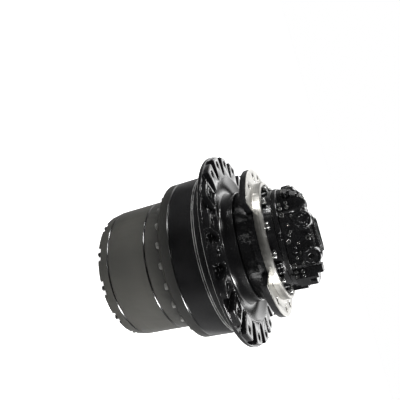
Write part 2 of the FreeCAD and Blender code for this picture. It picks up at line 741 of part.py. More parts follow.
def make_hub():
    groove = "hub_start + hub_groove_offset"
    body = turned("hub", [
        ("carrier_room_radius", "hub_start"),
        ("hub_radius - housing_bevel", "hub_start"),
        ("hub_radius", "hub_start + housing_bevel"),
        ("hub_radius", groove),
        ("hub_radius - hub_groove_depth", groove + " + hub_groove_width / 2"),
        ("hub_radius", groove + " + hub_groove_width"),
        ("hub_radius", "flange_start"),
        ("hub_radius - flange_relief", "flange_start"),
        ("hub_radius - flange_relief", "flange_face"),
        ("flange_seat", "flange_face"),
        ("flange_seat", "lug_top"),
        ("dish_radius", "lug_top"),
        ("neck_radius + neck_root", "flange_start + neck_root", "-dish_curve"),
        ("neck_radius", "flange_start + 2 * neck_root", "-neck_root"),
        ("neck_radius", "neck_end - neck_bevel"),
        ("neck_radius - neck_bevel", "neck_end"),
        ("seal_bore", "neck_end"),
        ("seal_bore", "bearing_2_end"),
        ("bearing_2_radius", "bearing_2_end"),
        ("bearing_2_radius", "bearing_2_start"),
        ("bearing_2_radius - bearing_shoulder", "bearing_2_start"),
        ("bearing_2_radius - bearing_shoulder", "bearing_1_end"),
        ("bearing_1_radius", "bearing_1_end"),
        ("bearing_1_radius", "bearing_1_start"),
        ("bearing_1_radius", "hub_start + carrier_room_depth"),
        ("carrier_room_radius", "hub_start + carrier_room_depth"),
    ])
    hole_ring(body, "clamp_hole", "hub_start + clamp_bolt_bite", "clamp_bolt_circle", "clamp_bolt_radius",
              "clamp_bolt_bite", "clamp_bolt_count", "-90")


def make_sprocket_flange():
    """The flange that carries the sprocket: a disc with a lug for each bolt and slots between the lugs.

    It sits on the hub's shoulder, and a narrow relief below it lets the sprocket seat flat.
    """
    body = turned("sprocket_flange", [
        ("flange_seat", "flange_face"),
        ("hub_radius + flange_relief", "flange_face"),
        ("hub_radius + flange_relief", "flange_start"),
        ("sprocket_radius - joint_bevel", "flange_start"),
        ("sprocket_radius", "flange_start + joint_bevel"),
        ("sprocket_radius", "flange_face"),
        ("lug_radius", "flange_face"),
        ("lug_radius", "lug_top - lug_bevel"),
        ("lug_radius - lug_bevel", "lug_top"),
        ("flange_seat", "lug_top"),
    ])
    sketch = new_sketch(body, "lug_slot_sketch", lift="lug_top", turn="180 / lug_count")
    lean = "180 / lug_count"
    near = "slot_centre - slot_end_radius * sin(%s)" % lean
    wide = "slot_end_radius * cos(%s)" % lean
    far = "lug_radius + 30"
    reach = "(%s) + (%s - (%s)) * tan(%s)" % (wide, far, near, lean)
    add_outline(sketch, [
        (near, "-(%s)" % wide, "slot_end_radius"),
        (far, "-(%s)" % reach),
        (far, reach),
        (near, wide),
    ])
    cut = pocket(body, "lug_slot", sketch, "lug_height")
    repeat(body, cut, "lug_count")
    hole_ring(body, "sprocket_hole", "lug_top", "sprocket_hole_circle", "sprocket_hole_radius",
              "lug_height + sprocket_disc", "lug_count")


def make_bearing(name, outer, start, end, low_slope, high_slope):
    """A taper roller bearing: two races and the ring of rollers. The slopes widen the track at either end."""
    inner_low = "bearing_bore + race_wall + " + low_slope
    inner_high = "bearing_bore + race_wall + " + high_slope
    outer_low = "%s - race_wall - race_slope + %s" % (outer, low_slope)
    outer_high = "%s - race_wall - race_slope + %s" % (outer, high_slope)
    turned(name + "_inner", [
        ("bearing_bore", start), (inner_low, start), (inner_high, end), ("bearing_bore", end)])
    turned(name + "_outer", [
        (outer_low, start), (outer, start), (outer, end), (outer_high, end)])
    turned(name + "_rollers", [
        (inner_low, start), (outer_low + " - seat_clearance", start),
        (outer_high + " - seat_clearance", end), (inner_high, end)])


def make_bearings():
    make_bearing("bearing_1", "bearing_1_radius", "bearing_1_start", "bearing_1_end", "race_slope", "0")
    make_bearing("bearing_2", "bearing_2_radius", "bearing_2_start", "bearing_2_end", "0", "race_slope")


def make_seals():
    """The face seal: two lapped rings, each on a rubber ring in its cup."""
    sides = (("hub", "seal_plane", "-", "seal_bore"),
             ("frame", "seal_plane + seat_clearance", "+", "seal_lip_radius"))
    for side, face, away, cup in sides:
        turned("seal_ring_" + side, [
            ("seal_ring_inner", face),
            ("seal_ring_outer + seal_ring_flange", face),
            ("seal_ring_outer", face + away + "seal_ring_flange"),
            ("seal_ring_outer - seal_ring_slope", face + away + "seal_ring_thickness"),
            ("seal_ring_inner", face + away + "seal_ring_thickness"),
        ])
        low, high = face + away + "seal_ring_flange", face + away + "seal_ring_thickness"
        turned("seal_cushion_" + side, [
            ("seal_ring_outer + seat_clearance", low + away + "seat_clearance"),
            (cup, low + away + "seat_clearance"),
            (cup, high),
            ("seal_ring_outer + seat_clearance", high),
        ])


def make_spindle():
    body = turned("spindle", [
        ("tunnel_radius", "spindle_end"),
        ("bearing_bore", "spindle_end"),
        ("bearing_bore", "bearing_2_end"),
        ("seal_seat_radius", "bearing_2_end"),
        ("seal_seat_radius", "seal_seat"),
        ("seal_lip_radius", "seal_seat"),
        ("seal_lip_radius", "seal_plane + seat_clearance"),
        ("seal_lip_outer", "seal_plane + seat_clearance"),
        ("seal_lip_outer", "collar_start"),
        ("collar_radius - ear_bevel", "collar_start"),
        ("collar_radius", "collar_start + ear_bevel"),
        ("collar_radius", "ear_start"),
        ("ear_radius - ear_bevel", "ear_start"),
        ("ear_radius", "ear_start + ear_bevel"),
        ("ear_radius", "frame_face - ear_bevel"),
        ("ear_radius - ear_bevel", "frame_face"),
        ("pilot_radius", "frame_face"),
        ("pilot_radius", "pilot_top - pilot_bevel"),
        ("pilot_radius - pilot_bevel", "pilot_top"),
        ("motor_seat_radius + seat_clearance", "pilot_top"),
        ("motor_seat_radius + seat_clearance", "frame_face"),
        ("brake_room_radius", "frame_face"),
        ("brake_room_radius", "brake_floor"),
        ("tunnel_radius", "brake_floor"),
    ])
    low = "ear_start - pad_height"
    sector(body, "ear_pad", "PartDesign::Revolution", "XZ_Plane", "pad_angle", [
        ("collar_radius - 5", low), ("pad_radius", low), ("pad_radius", "ear_start"),
        ("collar_radius - 5", "ear_start")])
    sector(body, "ear_cut", "PartDesign::Groove", "YZ_Plane", "ear_cut_angle", [
        ("ear_cut_radius", "ear_start - 1"), ("ear_radius + 10", "ear_start - 1"),
        ("ear_radius + 10", "frame_face"), ("ear_cut_radius", "frame_face")])
    spots = ("frame_hole_turn", "-frame_hole_turn", "frame_side_hole_turn", "-frame_side_hole_turn")
    hole_ring(body, "frame_hole", "frame_face", "frame_hole_circle", "frame_hole_radius",
              "ear_thickness + pad_height", "2", "0", spots)
    hole_ring(body, "dowel_hole", "frame_face", "dowel_circle", "dowel_radius", "ear_thickness", "2", "0",
              ("dowel_turn", "-dowel_turn"))
    hole_ring(body, "motor_bolt_hole", "frame_face", "motor_bolt_circle", "motor_bolt_radius",
              "motor_bolt_bite", "motor_bolt_count", "motor_bolt_turn")
    hole_ring(body, "carrier_bolt_hole", "spindle_end + carrier_bolt_bite", "carrier_bolt_circle",
              "carrier_bolt_radius", "carrier_bolt_bite", "planet_count", str(FIRST_PLANET_2), CARRIER_BOLTS)


def make_motor_plate():
    body = turned("motor_plate", [
        ("shaft_seal_radius", "frame_face + brake_piston_room"),
        ("brake_room_radius", "frame_face + brake_piston_room"),
        ("brake_room_radius", "frame_face"),
        ("motor_seat_radius - ear_bevel", "frame_face"),
        ("motor_seat_radius", "frame_face + ear_bevel"),
        ("motor_seat_radius", "motor_seat_top"),
        ("motor_radius", "motor_seat_top"),
        ("motor_radius", "spacer_start - joint_bevel"),
        ("motor_radius - joint_bevel", "spacer_start"),
        ("shaft_seal_radius", "spacer_start"),
    ])
    hole_ring(body, "motor_plate_hole", "motor_seat_top", "motor_bolt_circle", "motor_bolt_radius",
              "motor_seat_thickness", "motor_bolt_count", "motor_bolt_turn")
    block(body, "plate_foot", FOOT, "foot_start", "foot_depth")
    body = turned("spacer_ring", [
        ("shaft_bearing_radius", "spacer_start"),
        ("spacer_radius - joint_bevel", "spacer_start"),
        ("spacer_radius", "spacer_start + joint_bevel"),
        ("spacer_radius", "case_start - joint_bevel"),
        ("spacer_radius - joint_bevel", "case_start"),
        ("shaft_bearing_radius", "case_start"),
    ])
    block(body, "spacer_foot", FOOT, "spacer_start", "spacer_length")
    screw = cap_screw(size("motor_bolt_radius"), size("motor_seat_top"),
                      size("motor_seat_thickness + motor_bolt_bite"), down=False)
    screw.translate(FreeCAD.Vector(size("motor_bolt_circle"), 0, 0))
    piece("motor_bolts", Part.makeCompound(around(
        screw, round(size("motor_bolt_count")), size("motor_bolt_turn"))))


def block(body, name, corners, low, height):
    """Adds an upright prism over an outline of (x, y) corners."""
    sketch = new_sketch(body, name + "_sketch", lift=low)
    add_outline(sketch, corners)
    pad = body.newObject("PartDesign::Pad", name)
    pad.Profile = sketch
    pad.setExpression("Length", bound(height))
    body.Tip = pad
    doc.recompute()
    return pad


def make_case():
    """The motor's casting: a domed barrel with a stepped port side, a control block and a flat for the valves."""
    body = turned("motor_case", [
        ("0", "case_start + shaft_bearing_width"),
        ("shaft_bearing_radius", "case_start + shaft_bearing_width"),
        ("shaft_bearing_radius", "case_start"),
        ("motor_radius - joint_bevel", "case_start"),
        ("motor_radius", "case_start + joint_bevel"),
        ("motor_radius", "case_start + case_wall_rise"),
        ("case_shoulder_radius", "case_start + case_shoulder_rise", "case_shoulder_curve"),
        ("case_dome_radius", "case_top", "case_dome_curve"),
        ("0", "case_top"),
    ])
    ports, half, bevel = "port_block_radius", "port_block_half", "port_block_bevel"
    block(body, "port_block", [
        ("port_block_inner", "-" + half), (ports + " - " + bevel, "-" + half),
        (ports, "-%s + %s" % (half, bevel)), (ports, "%s - %s" % (half, bevel)),
        (ports + " - " + bevel, half), ("port_block_inner", half)], "block_start", "port_block_height")
    block(body, "port_step", [
        ("port_block_inner", "-port_step_half"), ("port_step_radius", "-port_step_half"),
        ("port_step_radius", "port_step_half"), ("port_block_inner", "port_step_half")],
        "block_start", "port_step_height")
    block(body, "case_foot", FOOT, "case_start", "foot_height")
    control, half = "-control_block_radius", "control_block_half"
    block(body, "control_block", [
        ("-control_block_inner", "-" + half), ("-control_block_inner", half),
        (control + " + " + bevel, half), (control, "%s - %s" % (half, bevel)),
        (control, "-%s + %s" % (half, bevel)), (control + " + " + bevel, "-" + half)],
        "block_start", "control_block_height")
    edge = "motor_radius + 20"
    sketch = new_sketch(body, "control_face_sketch", lift="end_top")
    add_outline(sketch, [
        (control, "-(%s)" % edge), (control, edge), ("-(%s)" % edge, edge), ("-(%s)" % edge, "-(%s)" % edge)])
    pocket(body, "control_face", sketch, "end_top - block_start")
    sketch = new_sketch(body, "valve_face_sketch", lift="end_top")
    add_outline(sketch, [
        ("-(%s)" % edge, "-valve_block_back"), ("-(%s)" % edge, "-(%s)" % edge),
        (edge, "-(%s)" % edge), (edge, "-valve_block_back")])
    pocket(body, "valve_face", sketch, "end_top - valve_block_start")
    spots = [("port_centre", place) for place in ("port_place", "-port_place")]
    face_holes(body, "port_hole", "YZ_Plane", "port_block_radius", "port_radius", "port_depth",
               [(place, height) for height, place in spots])
    face_holes(body, "control_hole", "YZ_Plane", "-control_block_radius", "control_plug_radius",
               "control_plug_bite", [("control_plug_place", "control_block_centre"),
                                     ("-control_plug_place", "control_block_centre")], upward=True)
    face_holes(body, "valve_bolt_hole", "XZ_Plane", "valve_block_back", "valve_bolt_radius",
               "valve_bolt_bite", VALVE_BOLTS)
    face_holes(body, "side_bolt_hole", "XZ_Plane", "valve_block_back", "side_bolt_radius",
               "side_bolt_bite", UPPER_SIDE_BOLTS + LOWER_SIDE_BOLTS)
    face_holes(body, "end_bolt_hole", "XY_Plane", "case_top", "end_bolt_radius", "end_bolt_bite", END_BOLTS)


def face_holes(body, name, plane, lift, radius, depth, spots, upward=False):
    """Round holes into a face that lies parallel to one of the body's planes."""
    sketch = new_sketch(body, name + "_sketch", plane, lift)
    for across, up in spots:
        place = FreeCAD.Vector(size(across), size(up), 0)
        edge = sketch.addGeometry(Part.Circle(place, FreeCAD.Vector(0, 0, 1), size(radius)), False)
        hold_point(sketch, edge, 3, across, up)
        hold(sketch, "Radius", radius, edge)
    return pocket(body, name, sketch, depth, upward)


VALVE_BOLTS = [(across, up)
               for across in ("valve_bolt_inset - valve_block_low", "valve_block_high - valve_bolt_inset")
               for up in ("valve_block_start + valve_bolt_inset",)]
VALVE_BOLTS.append(("(lower_boss_place - upper_boss_place) / 2", "valve_block_start + valve_bolt_inset"))
VALVE_BOLTS.append(("(lower_boss_place - upper_boss_place) / 2",
                    "valve_block_start + valve_block_height - valve_bolt_inset"))
UPPER_SIDE_BOLTS = [(across + " - upper_side_reach", up)
                    for across in ("side_bolt_inset", "side_bolt_inset + side_bolt_pitch")
                    for up in ("side_bolt_low", "side_bolt_high")]
LOWER_SIDE_BOLTS = [("valve_block_high + " + across, up)
                    for across in ("side_bolt_inset", "side_bolt_inset + side_bolt_pitch")
                    for up in ("side_bolt_low", "side_bolt_high")]
END_BOLTS = [(across, up)
             for across in ("end_bolt_inset - end_plate_low", "end_plate_high - end_bolt_inset")
             for up in ("end_bolt_inset - end_plate_near", "end_plate_far - end_bolt_inset",
                        "(end_plate_far - end_plate_near) / 2")]


def make_end_plate():
    body = new_body("end_plate")
    cut = "end_bolt_inset"
    low, high, near, far = "-end_plate_low", "end_plate_high", "-end_plate_near", "end_plate_far"
    block(body, "end_plate_pad", [
        ("%s + %s" % (low, cut), near), ("%s - %s" % (high, cut), near),
        (high, "%s + %s" % (near, cut)), (high, "%s - %s" % (far, cut)),
        ("%s - %s" % (high, cut), far), ("%s + %s" % (low, cut), far),
        (low, "%s - %s" % (far, cut)), (low, "%s + %s" % (near, cut))], "case_top", "end_plate_rise")
    face_holes(body, "end_bolt_sink", "XY_Plane", "end_top", "end_bolt_sink_radius", "end_bolt_sink", END_BOLTS)
    face_holes(body, "end_bolt_way", "XY_Plane", "end_top", "end_bolt_radius", "end_plate_rise", END_BOLTS)
    seat = size("end_top - end_bolt_sink")
    bite = size("end_plate_rise - end_bolt_sink + end_bolt_bite")
    screws = []
    for across, up in END_BOLTS:
        screw = cap_screw(size("end_bolt_radius"), seat, bite, down=False)
        screw.translate(FreeCAD.Vector(size(across), size(up), 0))
        screws.append(screw)
    piece("end_plate_bolts", Part.makeCompound(screws))


def toward_back(shape, across, up):
    """Turns a piece made along Z so that it points along Y, at a place on the motor's valve side."""
    copy = shape.copy()
    copy.rotate(FreeCAD.Vector(), FreeCAD.Vector(1, 0, 0), -90)
    copy.translate(FreeCAD.Vector(across, 0, up))
    return copy


def make_valves():
    """The valve block on the motor's flat, its two capped bores and the spool in the upper one."""
    body = new_body("valve_block")
    low, high, bevel = "-valve_block_low", "valve_block_high", "valve_block_bevel"
    front, back = "-valve_block_front", "-valve_block_back"
    block(body, "valve_block_pad", [
        (low, back), (low, "%s + %s" % (front, bevel)), ("%s + %s" % (low, bevel), front),
        ("%s - %s" % (high, bevel), front), (high, "%s + %s" % (front, bevel)), (high, back)],
        "valve_block_start", "valve_block_height")
    sketch = new_sketch(body, "boss_sketch", "XZ_Plane", "valve_block_back")
    for across in ("-upper_boss_place", "lower_boss_place"):
        place = FreeCAD.Vector(size(across), size("boss_level"), 0)
        edge = sketch.addGeometry(Part.Circle(place, FreeCAD.Vector(0, 0, 1), size("boss_radius")), False)
        hold_point(sketch, edge, 3, across, "boss_level")
        hold(sketch, "Radius", "boss_radius", edge)
    boss = body.newObject("PartDesign::Pad", "boss")
    boss.Profile = sketch
    boss.setExpression("Length", bound("boss_front - valve_block_back"))
    body.Tip = boss
    doc.recompute()
    upper, lower = [("-upper_boss_place", "boss_level")], [("lower_boss_place", "boss_level")]
    face_holes(body, "upper_cap_seat", "XZ_Plane", "boss_front", "upper_cap_radius", "cap_seat", upper)
    face_holes(body, "lower_cap_seat", "XZ_Plane", "boss_front", "lower_cap_radius", "cap_seat", lower)
    face_holes(body, "spool_bore", "XZ_Plane", "boss_front - cap_seat", "spool_radius + spool_fit",
               "spool_length + 2 * spool_travel + 2 * seat_clearance", upper)
    face_holes(body, "valve_bolt_way", "XZ_Plane", "valve_block_front", "valve_bolt_radius",
               "valve_block_front - valve_block_back", VALVE_BOLTS)
    face, seat = -size("boss_front"), -size("boss_front - cap_seat")
    up = size("boss_level")
    cap = cylinder(size("upper_cap_radius"), face - size("cap_proud"), seat)
    dimple = cylinder(size("cap_dimple"), face - size("cap_proud"), face)
    piece("upper_cap", toward_back(cap.cut(dimple), -size("upper_boss_place"), up))
    plug = cylinder(size("lower_cap_radius"), face, seat)
    plug = plug.cut(prism_hexagon(size("cap_socket"), face, face + size("cap_socket_depth")))
    piece("lower_cap", toward_back(plug, size("lower_boss_place"), up))
    end = seat + size("spool_travel + seat_clearance")
    length, radius = size("spool_length"), size("spool_radius")
    land = length / 5
    spool = cylinder(radius, end, end + land).fuse([
        cylinder(radius * 0.6, end + land, end + 2 * land), cylinder(radius, end + 2 * land, end + 3 * land),
        cylinder(radius * 0.6, end + 3 * land, end + 4 * land), cylinder(radius, end + 4 * land, end + length)])
    piece("valve_spool", toward_back(spool, -size("upper_boss_place"), up))
    screw = cap_screw(size("valve_bolt_radius"), -size("valve_block_front"),
                      size("valve_block_front - valve_block_back + valve_bolt_bite"))
    screws = [toward_back(screw, size(across), size(height)) for across, height in VALVE_BOLTS]
    piece("valve_bolts", Part.makeCompound(screws))
    plug = cylinder(size("control_plug_radius"), 0, size("control_plug_bite"))
    plug = plug.fuse(prism_hexagon(size("control_plug_across"), -size("control_plug_head"), 0))
    plugs = []
    for side in (1, -1):
        copy = plug.copy()
        copy.rotate(FreeCAD.Vector(), FreeCAD.Vector(0, 1, 0), 90)
        copy.translate(FreeCAD.Vector(-size("control_block_radius"), side * size("control_plug_place"),
                                      size("control_block_centre")))
        plugs.append(copy)
    piece("control_plugs", Part.makeCompound(plugs))


def make_side_block(label, corners, bolts):
    """A block on the motor's flat beside the valve block, from an outline of (x, height) corners."""
    body = new_body(label)
    sketch = new_sketch(body, label + "_sketch", "XZ_Plane", "valve_block_back")
    add_outline(sketch, corners)
    pad = body.newObject("PartDesign::Pad", label + "_pad")
    pad.Profile = sketch
    pad.setExpression("Length", bound("side_block_front - valve_block_back"))
    body.Tip = pad
    doc.recompute()
    face_holes(body, label + "_bolt_way", "XZ_Plane", "side_block_front", "side_bolt_radius",
               "side_block_front - valve_block_back", bolts)
    return body


def make_side_blocks():
    """The bolted blocks on either side of the valve block. The lower one steps down to the case.

    Its front corner is cut off, so that the frame's hole passes over the motor.
    """
    start, top = "valve_block_start", "side_block_top"
    make_side_block("upper_side_block", [
        ("-valve_block_low", start),
        ("-valve_block_low", top),
        ("side_block_step - upper_side_reach", top),
        ("-upper_side_reach", top + " - side_block_step"),
        ("-upper_side_reach", start)], UPPER_SIDE_BOLTS)
    reach = "lower_side_reach"
    lower = make_side_block("lower_side_block", [
        ("valve_block_high", start),
        (reach, start),
        (reach, "case_start + lower_side_first"),
        (reach + " - side_block_step", "case_start + lower_side_first"),
        (reach + " - side_block_step", "case_start + lower_side_second"),
        (reach + " - 2 * side_block_step", "case_start + lower_side_second"),
        (reach + " - 2 * side_block_step", top),
        ("valve_block_high", top)], LOWER_SIDE_BOLTS)
    corner = new_sketch(lower, "lower_side_corner_sketch", lift=top)
    add_outline(corner, [
        (reach + " - side_block_bevel", "-side_block_front"),
        (reach, "-side_block_front"),
        (reach, "side_block_bevel - side_block_front")])
    pocket(lower, "lower_side_corner", corner, "%s - %s" % (top, start))
    screw = cap_screw(size("side_bolt_radius"), -size("side_block_front"),
                      size("side_block_front - valve_block_back + side_bolt_bite"))
    spots = UPPER_SIDE_BOLTS + LOWER_SIDE_BOLTS
    screws = [toward_back(screw, size(across), size(height)) for across, height in spots]
    piece("side_block_bolts", Part.makeCompound(screws))


def make_carrier(name, start, end, radius, orbit, planet, sun, pin, gear, first, neck):
    """A planet carrier cut from one forging: two plates with posts between its windows."""
    sun_room = "%s + tooth_addendum * %s + sun_gap" % (sun, gear[2])
    window_low = "%s - carrier_side_gap" % gear[0]
    window_high = "%s + %s + carrier_side_gap" % (gear[0], gear[1])
    bevel = "carrier_bevel"
    body = turned(name, [
        (sun_room, start), ("%s - %s" % (radius, bevel), start), (radius, "%s + %s" % (start, bevel)),
        (radius, "%s - %s" % (end, bevel)), ("%s - %s" % (radius, bevel), end)] + neck + [
        (sun_room, window_high)])
    window = "%s + tooth_addendum * %s + window_gap" % (planet, gear[2])
    for cut, top, depth, hole in (("window", window_high, "(%s) - (%s)" % (window_high, window_low), window),
                                  ("pin_hole", end, "(%s) - (%s)" % (end, start), pin)):
        hole_ring(body, name + "_" + cut, top, orbit, hole, depth, "planet_count", str(first))


def make_carriers():
    make_carrier("carrier_1", "carrier_1_start", "carrier_1_end", "carrier_1_radius", "orbit_1",
                 "pitch_planet_1", "pitch_sun_1", "pin_1_radius", ("gear_1_start", "gear_1_width", "module_1"),
                 FIRST_PLANET_1, [("sun_2_neck", "carrier_1_end"), ("sun_2_neck", "gear_1_top")])
    make_carrier("carrier_2", "carrier_2_start", "carrier_2_end", "carrier_2_radius", "orbit_2",
                 "pitch_planet_2", "pitch_sun_2", "pin_2_radius", ("gear_2_start", "gear_2_width", "module_2"),
                 FIRST_PLANET_2, [("spline_hub_radius", "carrier_2_end"), ("spline_hub_radius", "spindle_end"),
                                  ("tunnel_radius", "spindle_end"), ("tunnel_radius", "gear_2_top")])
    body = doc.getObject("carrier_2")
    hole_ring(body, "carrier_bolt_way", "spindle_end", "carrier_bolt_circle", "carrier_bolt_radius",
              "spindle_end - carrier_bolt_seat", "planet_count", str(FIRST_PLANET_2), CARRIER_BOLTS)
    hole_ring(body, "carrier_bolt_sink", "carrier_bolt_seat", "carrier_bolt_circle",
              "%s * carrier_bolt_radius + seat_clearance" % HEAD_SHARE,
              "carrier_bolt_seat - gear_2_top", "planet_count", str(FIRST_PLANET_2), CARRIER_BOLTS)
    screw = cap_screw(size("carrier_bolt_radius"), size("carrier_bolt_seat"),
                      size("spindle_end - carrier_bolt_seat + carrier_bolt_bite"))
    screw.translate(FreeCAD.Vector(size("carrier_bolt_circle"), 0, 0))
    screws = []
    for turn in CARRIER_BOLTS:
        screws += around(screw, round(size("planet_count")), FIRST_PLANET_2 + size(turn))
    piece("carrier_bolts", Part.makeCompound(screws))


def make_stage(stage, first):
    """The planets of one stage with their pins and needle bearings."""
    mark = "_%d" % stage
    low, high = size("gear%s_start" % mark), size("gear%s_start + gear%s_width" % (mark, mark))
    orbit, pin = size("orbit" + mark), size("pin%s_radius" % mark)
    track = pin + size("needle_wall")
    sun, teeth = size("sun%s_teeth" % mark), round(size("planet%s_teeth" % mark))
    count = round(size("planet_count"))
    pins, bearings = [], []
    for i in range(count):
        angle = first + 360.0 * i / count
        x = orbit * math.cos(math.radians(angle))
        y = orbit * math.sin(math.radians(angle))
        pins.append(cylinder(pin, size("carrier%s_start" % mark), size("pin%s_end" % mark), x, y))
        bearings.append(cylinder(track, low, high, x, y).cut(cylinder(pin, low, high, x, y)))
        wheel = gear_prism(size("pitch_planet" + mark), size("module" + mark), teeth,
                           planet_turn(angle, sun, teeth), low, high)
        wheel = wheel.cut(cylinder(track + size("running_fit"), low, high))
        wheel.translate(FreeCAD.Vector(x, y, 0))
        piece("planet%s%s" % (mark, "abc"[i]), wheel)
    piece("planet_pins" + mark, Part.makeCompound(pins))
    piece("planet_bearings" + mark, Part.makeCompound(bearings))


def make_shafts():
    """Both sun gears and the input shaft that runs from the motor down the hollow spindle."""
    low, high = size("gear_1_start"), size("gear_1_top - carrier_side_gap")
    shaft = size("shaft_radius")
    sun = gear_prism(size("pitch_sun_1"), size("module_1"), round(size("sun_1_teeth")), 0.0, low, high)
    piece("sun_gear_1", sun.cut(cylinder(shaft, low, high)))
    low, high = size("gear_2_start - sun_2_overhang"), size("gear_2_start + gear_2_width + sun_2_overhang")
    sun = gear_prism(size("pitch_sun_2"), size("module_2"), round(size("sun_2_teeth")), 0.0, low, high)
    start = size("gear_1_top")
    sun = sun.fuse(cylinder(size("sun_2_neck"), start, low)).cut(cylinder(size("sun_2_bore"), start, high))
    piece("sun_gear_2", sun)
    turned("input_shaft", [
        ("0", "gear_1_start"), ("shaft_radius", "gear_1_start"),
        ("shaft_radius", "case_start + shaft_bearing_width - shaft_end_gap - shaft_bevel"),
        ("shaft_radius - shaft_bevel", "case_start + shaft_bearing_width - shaft_end_gap"),
        ("0", "case_start + shaft_bearing_width - shaft_end_gap")])
    turned("shaft_bearing", [
        ("shaft_radius + running_fit", "spacer_start"), ("shaft_bearing_radius", "spacer_start"),
        ("shaft_bearing_radius", "case_start + shaft_bearing_width"),
        ("shaft_radius + running_fit", "case_start + shaft_bearing_width")])
    turned("shaft_seal", [
        ("shaft_radius + running_fit", "spacer_start - shaft_seal_width"),
        ("shaft_seal_radius", "spacer_start - shaft_seal_width"),
        ("shaft_seal_radius", "spacer_start"), ("shaft_radius + running_fit", "spacer_start")])


def make_brake():
    """The parking brake: discs on the shaft, plates in the spindle and the piston that clamps them."""
    thickness, gap = size("brake_disc_thickness"), size("brake_gap")
    level = size("brake_floor")
    hub, disc = size("brake_hub_radius"), size("brake_disc_radius")
    bore, room = size("brake_plate_inner"), size("brake_room_radius")
    discs, plates = [], []
    for i in range(round(size("brake_disc_count"))):
        plates.append(cylinder(room, level, level + thickness).cut(cylinder(bore, level, level + thickness)))
        level += thickness + gap
        discs.append(cylinder(disc, level, level + thickness).cut(cylinder(hub, level, level + thickness)))
        level += thickness + gap
    piece("brake_discs", Part.makeCompound(discs))
    piece("brake_plates", Part.makeCompound(plates))
    turned("brake_hub", [
        ("shaft_radius", "brake_floor + brake_gap"), ("brake_hub_radius", "brake_floor + brake_gap"),
        ("brake_hub_radius", "frame_face"), ("shaft_radius", "frame_face")])
    piston = "brake_floor + 2 * brake_disc_count * (brake_disc_thickness + brake_gap)"
    top = "frame_face + brake_piston_room - brake_stroke - seat_clearance"
    turned("brake_piston", [
        ("brake_plate_inner", piston), ("brake_room_radius - running_fit", piston),
        ("brake_room_radius - running_fit", top), ("brake_plate_inner", top)])


def make_gears():
    make_stage(1, FIRST_PLANET_1)
    make_stage(2, FIRST_PLANET_2)


def write_parts():
    """Checks every object of the document, then writes each sub-part to its own file."""
    doc.recompute()
    for item in doc.Objects:
        if "Invalid" in item.State or "Error" in item.State:
            raise RuntimeError("%s failed: %s" % (item.Label, item.State))
    os.makedirs("parts", exist_ok=True)
    for item in doc.Objects:
        if item.TypeId not in ("PartDesign::Body", "Part::Feature"):
            continue
        if item.Shape.isNull() or not item.Shape.isValid():
            raise RuntimeError("%s has no valid shape" % item.Label)
        item.Shape.exportStep("parts/%s.step" % item.Label)
        print("%-18s %10.1f cm3" % (item.Label, item.Shape.Volume / 1000))


STEPS = [make_cover, make_cover_fittings, make_ring_gears, make_hub, make_sprocket_flange, make_bearings,
         make_seals, make_spindle, make_motor_plate, make_case, make_end_plate, make_valves, make_side_blocks,
         make_carriers, make_gears, make_shafts, make_brake, write_parts]


def main():
    for step in STEPS:
        step()


if __name__ == "__main__":
    main()
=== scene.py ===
"""Looks of the planetary hub drive: finishes, small fittings, floor, light and camera.

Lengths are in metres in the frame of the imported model: the unit stands on its end cover,
its axis is Z and the motor is on top. The photograph shows it lying on its side, so the
camera is rolled.
"""
import json
import math

import bmesh
import bpy
from mathutils import Matrix, Vector


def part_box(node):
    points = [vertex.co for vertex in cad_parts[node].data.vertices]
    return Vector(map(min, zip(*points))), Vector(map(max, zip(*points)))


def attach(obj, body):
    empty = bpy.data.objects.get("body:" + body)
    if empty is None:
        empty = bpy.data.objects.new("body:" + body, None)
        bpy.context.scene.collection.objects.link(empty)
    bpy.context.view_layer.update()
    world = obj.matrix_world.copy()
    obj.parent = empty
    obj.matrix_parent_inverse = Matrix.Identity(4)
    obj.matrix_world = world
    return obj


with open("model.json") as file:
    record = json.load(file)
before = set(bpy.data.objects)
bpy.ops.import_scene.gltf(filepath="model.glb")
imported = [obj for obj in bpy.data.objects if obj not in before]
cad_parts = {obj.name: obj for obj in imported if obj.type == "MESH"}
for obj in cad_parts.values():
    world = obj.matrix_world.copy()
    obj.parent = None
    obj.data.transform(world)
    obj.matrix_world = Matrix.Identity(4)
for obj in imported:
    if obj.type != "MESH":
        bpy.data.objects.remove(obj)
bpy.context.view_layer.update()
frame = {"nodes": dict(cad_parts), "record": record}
NODES = frame["nodes"]

# The camera: its place, and the world's directions of its right, its up and its back.
CAMERA_PLACE = (0.0, -1.5069, 0.8820)
CAMERA_RIGHT = (0.22605, 0.34798, 0.90984)
CAMERA_UP = (-0.96460, -0.05024, 0.25887)
CAMERA_BACK = (0.13580, -0.93616, 0.32430)
CAMERA_LENS = 36.417

# The range that most of a noise's values lie in.
NOISE_LOW, NOISE_HIGH = 0.3, 0.7
# The darkest and the lightest shade of the glossy black paint.
BLACK_PAINT = ((0.002, 0.002, 0.0022), (0.0052, 0.0052, 0.0055))
# Grey painted on along edges as a highlight.
EDGE_HIGHLIGHT_GREY = (0.14, 0.14, 0.137)
# Painted shade in the clamp screws' pockets.
POCKET_SHADE = (0.004, 0.004, 0.004)
LINE_BLACK = (0.003, 0.003, 0.003)
POCKET_BLUR = 0.0015
PAINT_IOR = 1.5


def level(node, corner):
    """Height of a CAD node's lower (0) or upper (1) corner."""
    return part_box(node)[corner].z


# Heights of the model that the finishes and the fittings share.
EAR_FACE = level("motor_plate", 0)
PLATE_STEP = EAR_FACE + 0.023
BOSS_HEIGHT = level("motor_case", 0) + 0.074
HUB_START = level("ring_gear_2", 1)
HUB_GROOVE = HUB_START + 0.088
FLANGE_EDGE = level("sprocket_flange", 0)
# The front face of the valve block, which looks along -Y.
VALVE_FACE = -0.176
FRONT = (0.0, -1.0, 0.0)
